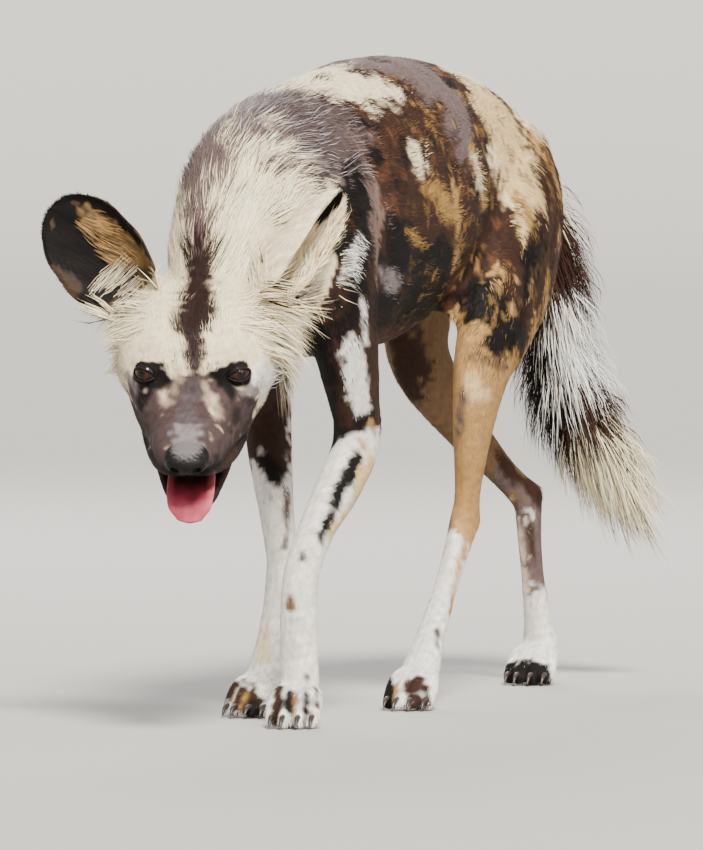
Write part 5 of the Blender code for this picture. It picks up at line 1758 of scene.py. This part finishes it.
def noseFinish():
    # Fine cells all over, and a painted sheen that makes its top grey
    finish = Finish("nose", Specular_IOR_Level=0.16)
    place = finish.add("ShaderNodeTexCoord").outputs["Object"]
    cells = finish.add("ShaderNodeTexVoronoi", None, {"Vector": place, "Scale": 820.0}).outputs["Distance"]
    wear = finish.noise(place, 90.0, 4.0)
    tone = finish.ramp(wear, (0.35, (0.0035, 0.003, 0.003)), (0.75, (0.009, 0.007, 0.008)))
    paintedSheen = finish.apart(finish.attribute("padTop")["Vector"])["X"]
    finish.feed("Base Color", finish.mix(paintedSheen, tone, (0.125, 0.110, 0.116, 1)))
    finish.feed("Roughness", wear * 0.20 + 0.40)
    finish.raised(1 - finish.value(cells), 0.7, 0.0005)
    return finish.material


tongueLook = {"groove": 0.0020, "cup": 0.0085, "shorter": 0.006, "narrower": 0.20}


def tongueShape():
    # The solids' tongue, its middle sunk by g exp(-(l / 4 mm)^2), its edges raised by c (l / w)^2 and its tip
    # drawn back
    points, faces = tongueTube(44, 12, 8)
    f, l, u = toHead(points).T
    share = np.clip((f - 0.030) / 0.085, 0, 1)
    groove = tongueLook["groove"] * np.exp(-(l / 0.004) ** 2) * (1 - 0.7 * share)
    u = u + tongueLook["cup"] * (l / 0.026) ** 2 * (1 - 0.6 * share) - groove
    l = l * (1 - tongueLook["narrower"] * np.clip((f - 0.050) / 0.060, 0, 1) ** 1.5)
    l = l * (1 + 0.10 * np.clip((f - 0.098) / 0.013, 0, 1))
    drawn = np.clip((f - 0.060) / 0.050, 0, 1) ** 2
    return fromHead(np.stack([f - tongueLook["shorter"] * drawn, l, u + 0.003 * drawn], 1)), faces, share


def tongueFinish():
    # Pink towards the tip, darkened towards the throat by painted shade and paler along the edges by painted
    # light, with small buds
    finish = Finish("tongue", Specular_IOR_Level=0.30)
    way = finish.apart(finish.attribute("tongueWay")["Vector"])
    place = finish.add("ShaderNodeTexCoord").outputs["Object"]
    blotch = finish.noise(place, 120.0, 3.0)
    # Painted shade: the ramp along it is darkest towards the throat
    deep = finish.ramp(way["X"], (0.50, (0.030, 0.003, 0.006)), (0.80, (0.30, 0.030, 0.058)),
                       (0.98, (0.56, 0.095, 0.135)))
    # Painted light: paler pink along the edges
    edge = finish.value(finish.ramp(way["Y"], (0.55, (0.0, 0.0, 0.0)), (0.95, plain)))
    tone = finish.mix(edge * 0.75, deep, (0.66, 0.135, 0.165, 1))
    shade = finish.ramp(blotch, (0.30, (0.72, 0.68, 0.68)), (0.70, plain))
    finish.feed("Base Color", finish.mix(1.0, tone, shade, "MULTIPLY"))
    finish.feed("Roughness", blotch * 0.25 + 0.42)
    finish.raised(finish.noise(place, 950.0, 2.0), 0.55, 0.0004)
    return finish.material


# Ahead of the toe's last knuckle, height and radius along each claw
clawRows = ((0.001, 0.0122, 0.0029), (0.0085, 0.0118, 0.0026), (0.0140, 0.0082, 0.0019),
            (0.0175, 0.0030, 0.0007))


def clawShapes():
    shapes = []
    share = toes["rows"][-1][0]
    for spec in paws.values():
        fetlock, turn = paths[spec["leg"]]["rows"][-1], math.radians(spec["turn"])
        across = (math.cos(turn), math.sin(turn), 0)
        for offset, reach in toes["places"]:
            rows = [(fetlock[0] + offset * share, fetlock[1] - reach - toes["start"] - ahead, height, radius,
                     radius) for ahead, height, radius in clawRows]
            claw = closedTube(turned(rows, fetlock, turn), across=across, sides=12, perSpan=4, least=0.0004)
            shapes.append(claw)
    return shapes


def hornFinish():
    finish = Finish("claws", Specular_IOR_Level=0.5)
    place = finish.add("ShaderNodeTexCoord").outputs["Object"]
    wear = finish.noise(finish.stretched(place, (900, 160, 900)), 1.0, 3.0)
    finish.feed("Base Color", finish.ramp(wear, (0.30, (0.012, 0.009, 0.008)), (0.75, (0.060, 0.042, 0.032))))
    finish.feed("Roughness", wear * 0.2 + 0.28)
    finish.raised(wear, 0.4, 0.0003)
    return finish.material


def placed(thing, material, slot, *nodes):
    thing.data.materials.append(material)
    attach(thing, "root")
    if nodes:
        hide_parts(*nodes)


eyeMaterial, noseMaterial = eyeFinish(), noseFinish()
for side in ("left", "right"):
    placed(eyeball(side), eyeMaterial, "eye", "eye_" + side)
placed(meshObject("lid_rims", *joined([lidRim("left"), lidRim("right")])), noseMaterial, "dark_fur")
points, faces = noseShape()
nose = meshObject("nose_leather", *facingOut(points, faces))
f, l, u = toHead(points).T
# Painted sheen: 0 on the black front of the pad, rising to 1 over its top, which turns grey
padTop = smoothStep(0.0030, u + 0.0284 - 0.10 * (f - 0.11) - 12 * l**2 + 0.0006 * waves(points, 0.004, 31))
setVectors(nose.data, "padTop", np.stack([padTop, 0 * padTop, 0 * padTop], 1))
placed(nose, noseMaterial, "nose_pad", "nose")
points, faces, share = tongueShape()
tongue = meshObject("tongue_soft", *facingOut(points, faces))
setVectors(tongue.data, "tongueWay", np.stack([share, np.abs(toHead(points)[:, 1]) / 0.026, 0 * share], 1))
placed(tongue, tongueFinish(), "tongue", "tongue")
claws = meshObject("claws", *joined([facingOut(*shape) for shape in clawShapes()]))
placed(claws, hornFinish(), "dark_fur")
print("eyes, nose, tongue and claws")

# ---- light, floor and camera

# Where the photo's camera stands; its focal length, the horizon and the dog's middle are in photo pixels
view = {"azimuth": 28, "distance": 9.0, "height": 0.62, "focal": 9000, "horizon": 102, "middle": 269}
photo = {"width": 703, "height": 850}


def makeCamera():
    turn = math.radians(view["azimuth"])
    back, above = Vector((math.sin(turn), -math.cos(turn), 0)), Vector((0, 0, 1))
    right = Vector((math.cos(turn), math.sin(turn), 0))
    down = (photo["height"] / 2 - view["horizon"]) / view["focal"]
    aside = (photo["width"] / 2 - view["middle"]) / view["focal"]
    look = -back * math.cos(down) - above * math.sin(down) + right * math.tan(aside)
    data = bpy.data.cameras.new("camera")
    data.lens = view["focal"] * 36 / photo["height"]
    data.sensor_width = 36
    data.clip_end = 60
    camera = bpy.data.objects.new("camera", data)
    camera.location = back * view["distance"] + above * view["height"] + Vector(shift)
    camera.rotation_euler = look.to_track_quat("-Z", "Y").to_euler()
    bpy.context.scene.collection.objects.link(camera)
    bpy.context.scene.camera = camera


dish = {"flat": 24, "rise": 9, "sides": 96, "colour": (0.44, 0.427, 0.408, 1)}     # in metres from the dog


def makeFloor():
    # A round dish: flat out from the dog, then a quarter circle up to its rim
    turn = np.linspace(0, math.pi / 2, 13)[1:]
    radius = np.r_[np.linspace(0.5, dish["flat"], 24), dish["flat"] + dish["rise"] * np.sin(turn)]
    height = np.r_[np.zeros(24), dish["rise"] - dish["rise"] * np.cos(turn)]
    angle = np.linspace(0, 2 * math.pi, dish["sides"], endpoint=False)
    x, y = radius[:, None] * np.cos(angle), radius[:, None] * np.sin(angle)
    points = np.stack([x, y, np.broadcast_to(height[:, None], x.shape)], -1).reshape(-1, 3)
    number = np.arange(len(points)).reshape(x.shape)
    middle = np.stack([np.full(dish["sides"], len(points)), number[0], np.roll(number[0], -1)], -1)
    faces = np.vstack([between(number[:-1], number[1:]), middle])
    floor = meshObject("studio_floor", np.vstack([points, [[0, 0, 0]]]), faces, moved=False)
    floor.data.materials.append(Finish("floor", Base_Color=dish["colour"], Roughness=0.9).material)


def lamp(name, kind, place, aim, power, colour, **shape):
    data = bpy.data.lights.new(name, kind)
    data.energy, data.color = power, colour
    for key, value in shape.items():
        setattr(data, key, value)
    light = bpy.data.objects.new(name, data)
    light.location = Vector(place)
    light.rotation_euler = (Vector(aim) - Vector(place)).to_track_quat("-Z", "Y").to_euler()
    bpy.context.scene.collection.objects.link(light)


makeCamera()
makeFloor()
lamp("key", "SUN", (2.6, -3.4, 4.3), (0, 0, 0.3), 8.0, (1.0, 0.96, 0.89), angle=math.radians(14))
lamp("fill", "AREA", (4.0, -1.5, 2.0), (0, 0.1, 0.35), 80, (1.0, 0.97, 0.93), shape="DISK", size=3.0)
lamp("rim", "AREA", (-2.5, 3.5, 3.2), (0, 0.1, 0.40), 150, (1.0, 0.98, 0.95), shape="DISK", size=2.0)
world = bpy.data.worlds.new("studio")
bpy.context.scene.world = world
world.use_nodes = True
world.node_tree.nodes["Background"].inputs["Color"].default_value = (0.90, 0.90, 0.90, 1)
world.node_tree.nodes["Background"].inputs["Strength"].default_value = 0.82

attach(skin, "root")
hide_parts("torso", "neck", "head", "jaw", "ear_left", "ear_right", "foreleg_left", "foreleg_right",
            "forepaw_left", "forepaw_right", "hindleg_left", "hindleg_right", "hindpaw_left", "hindpaw_right",
            "tail")
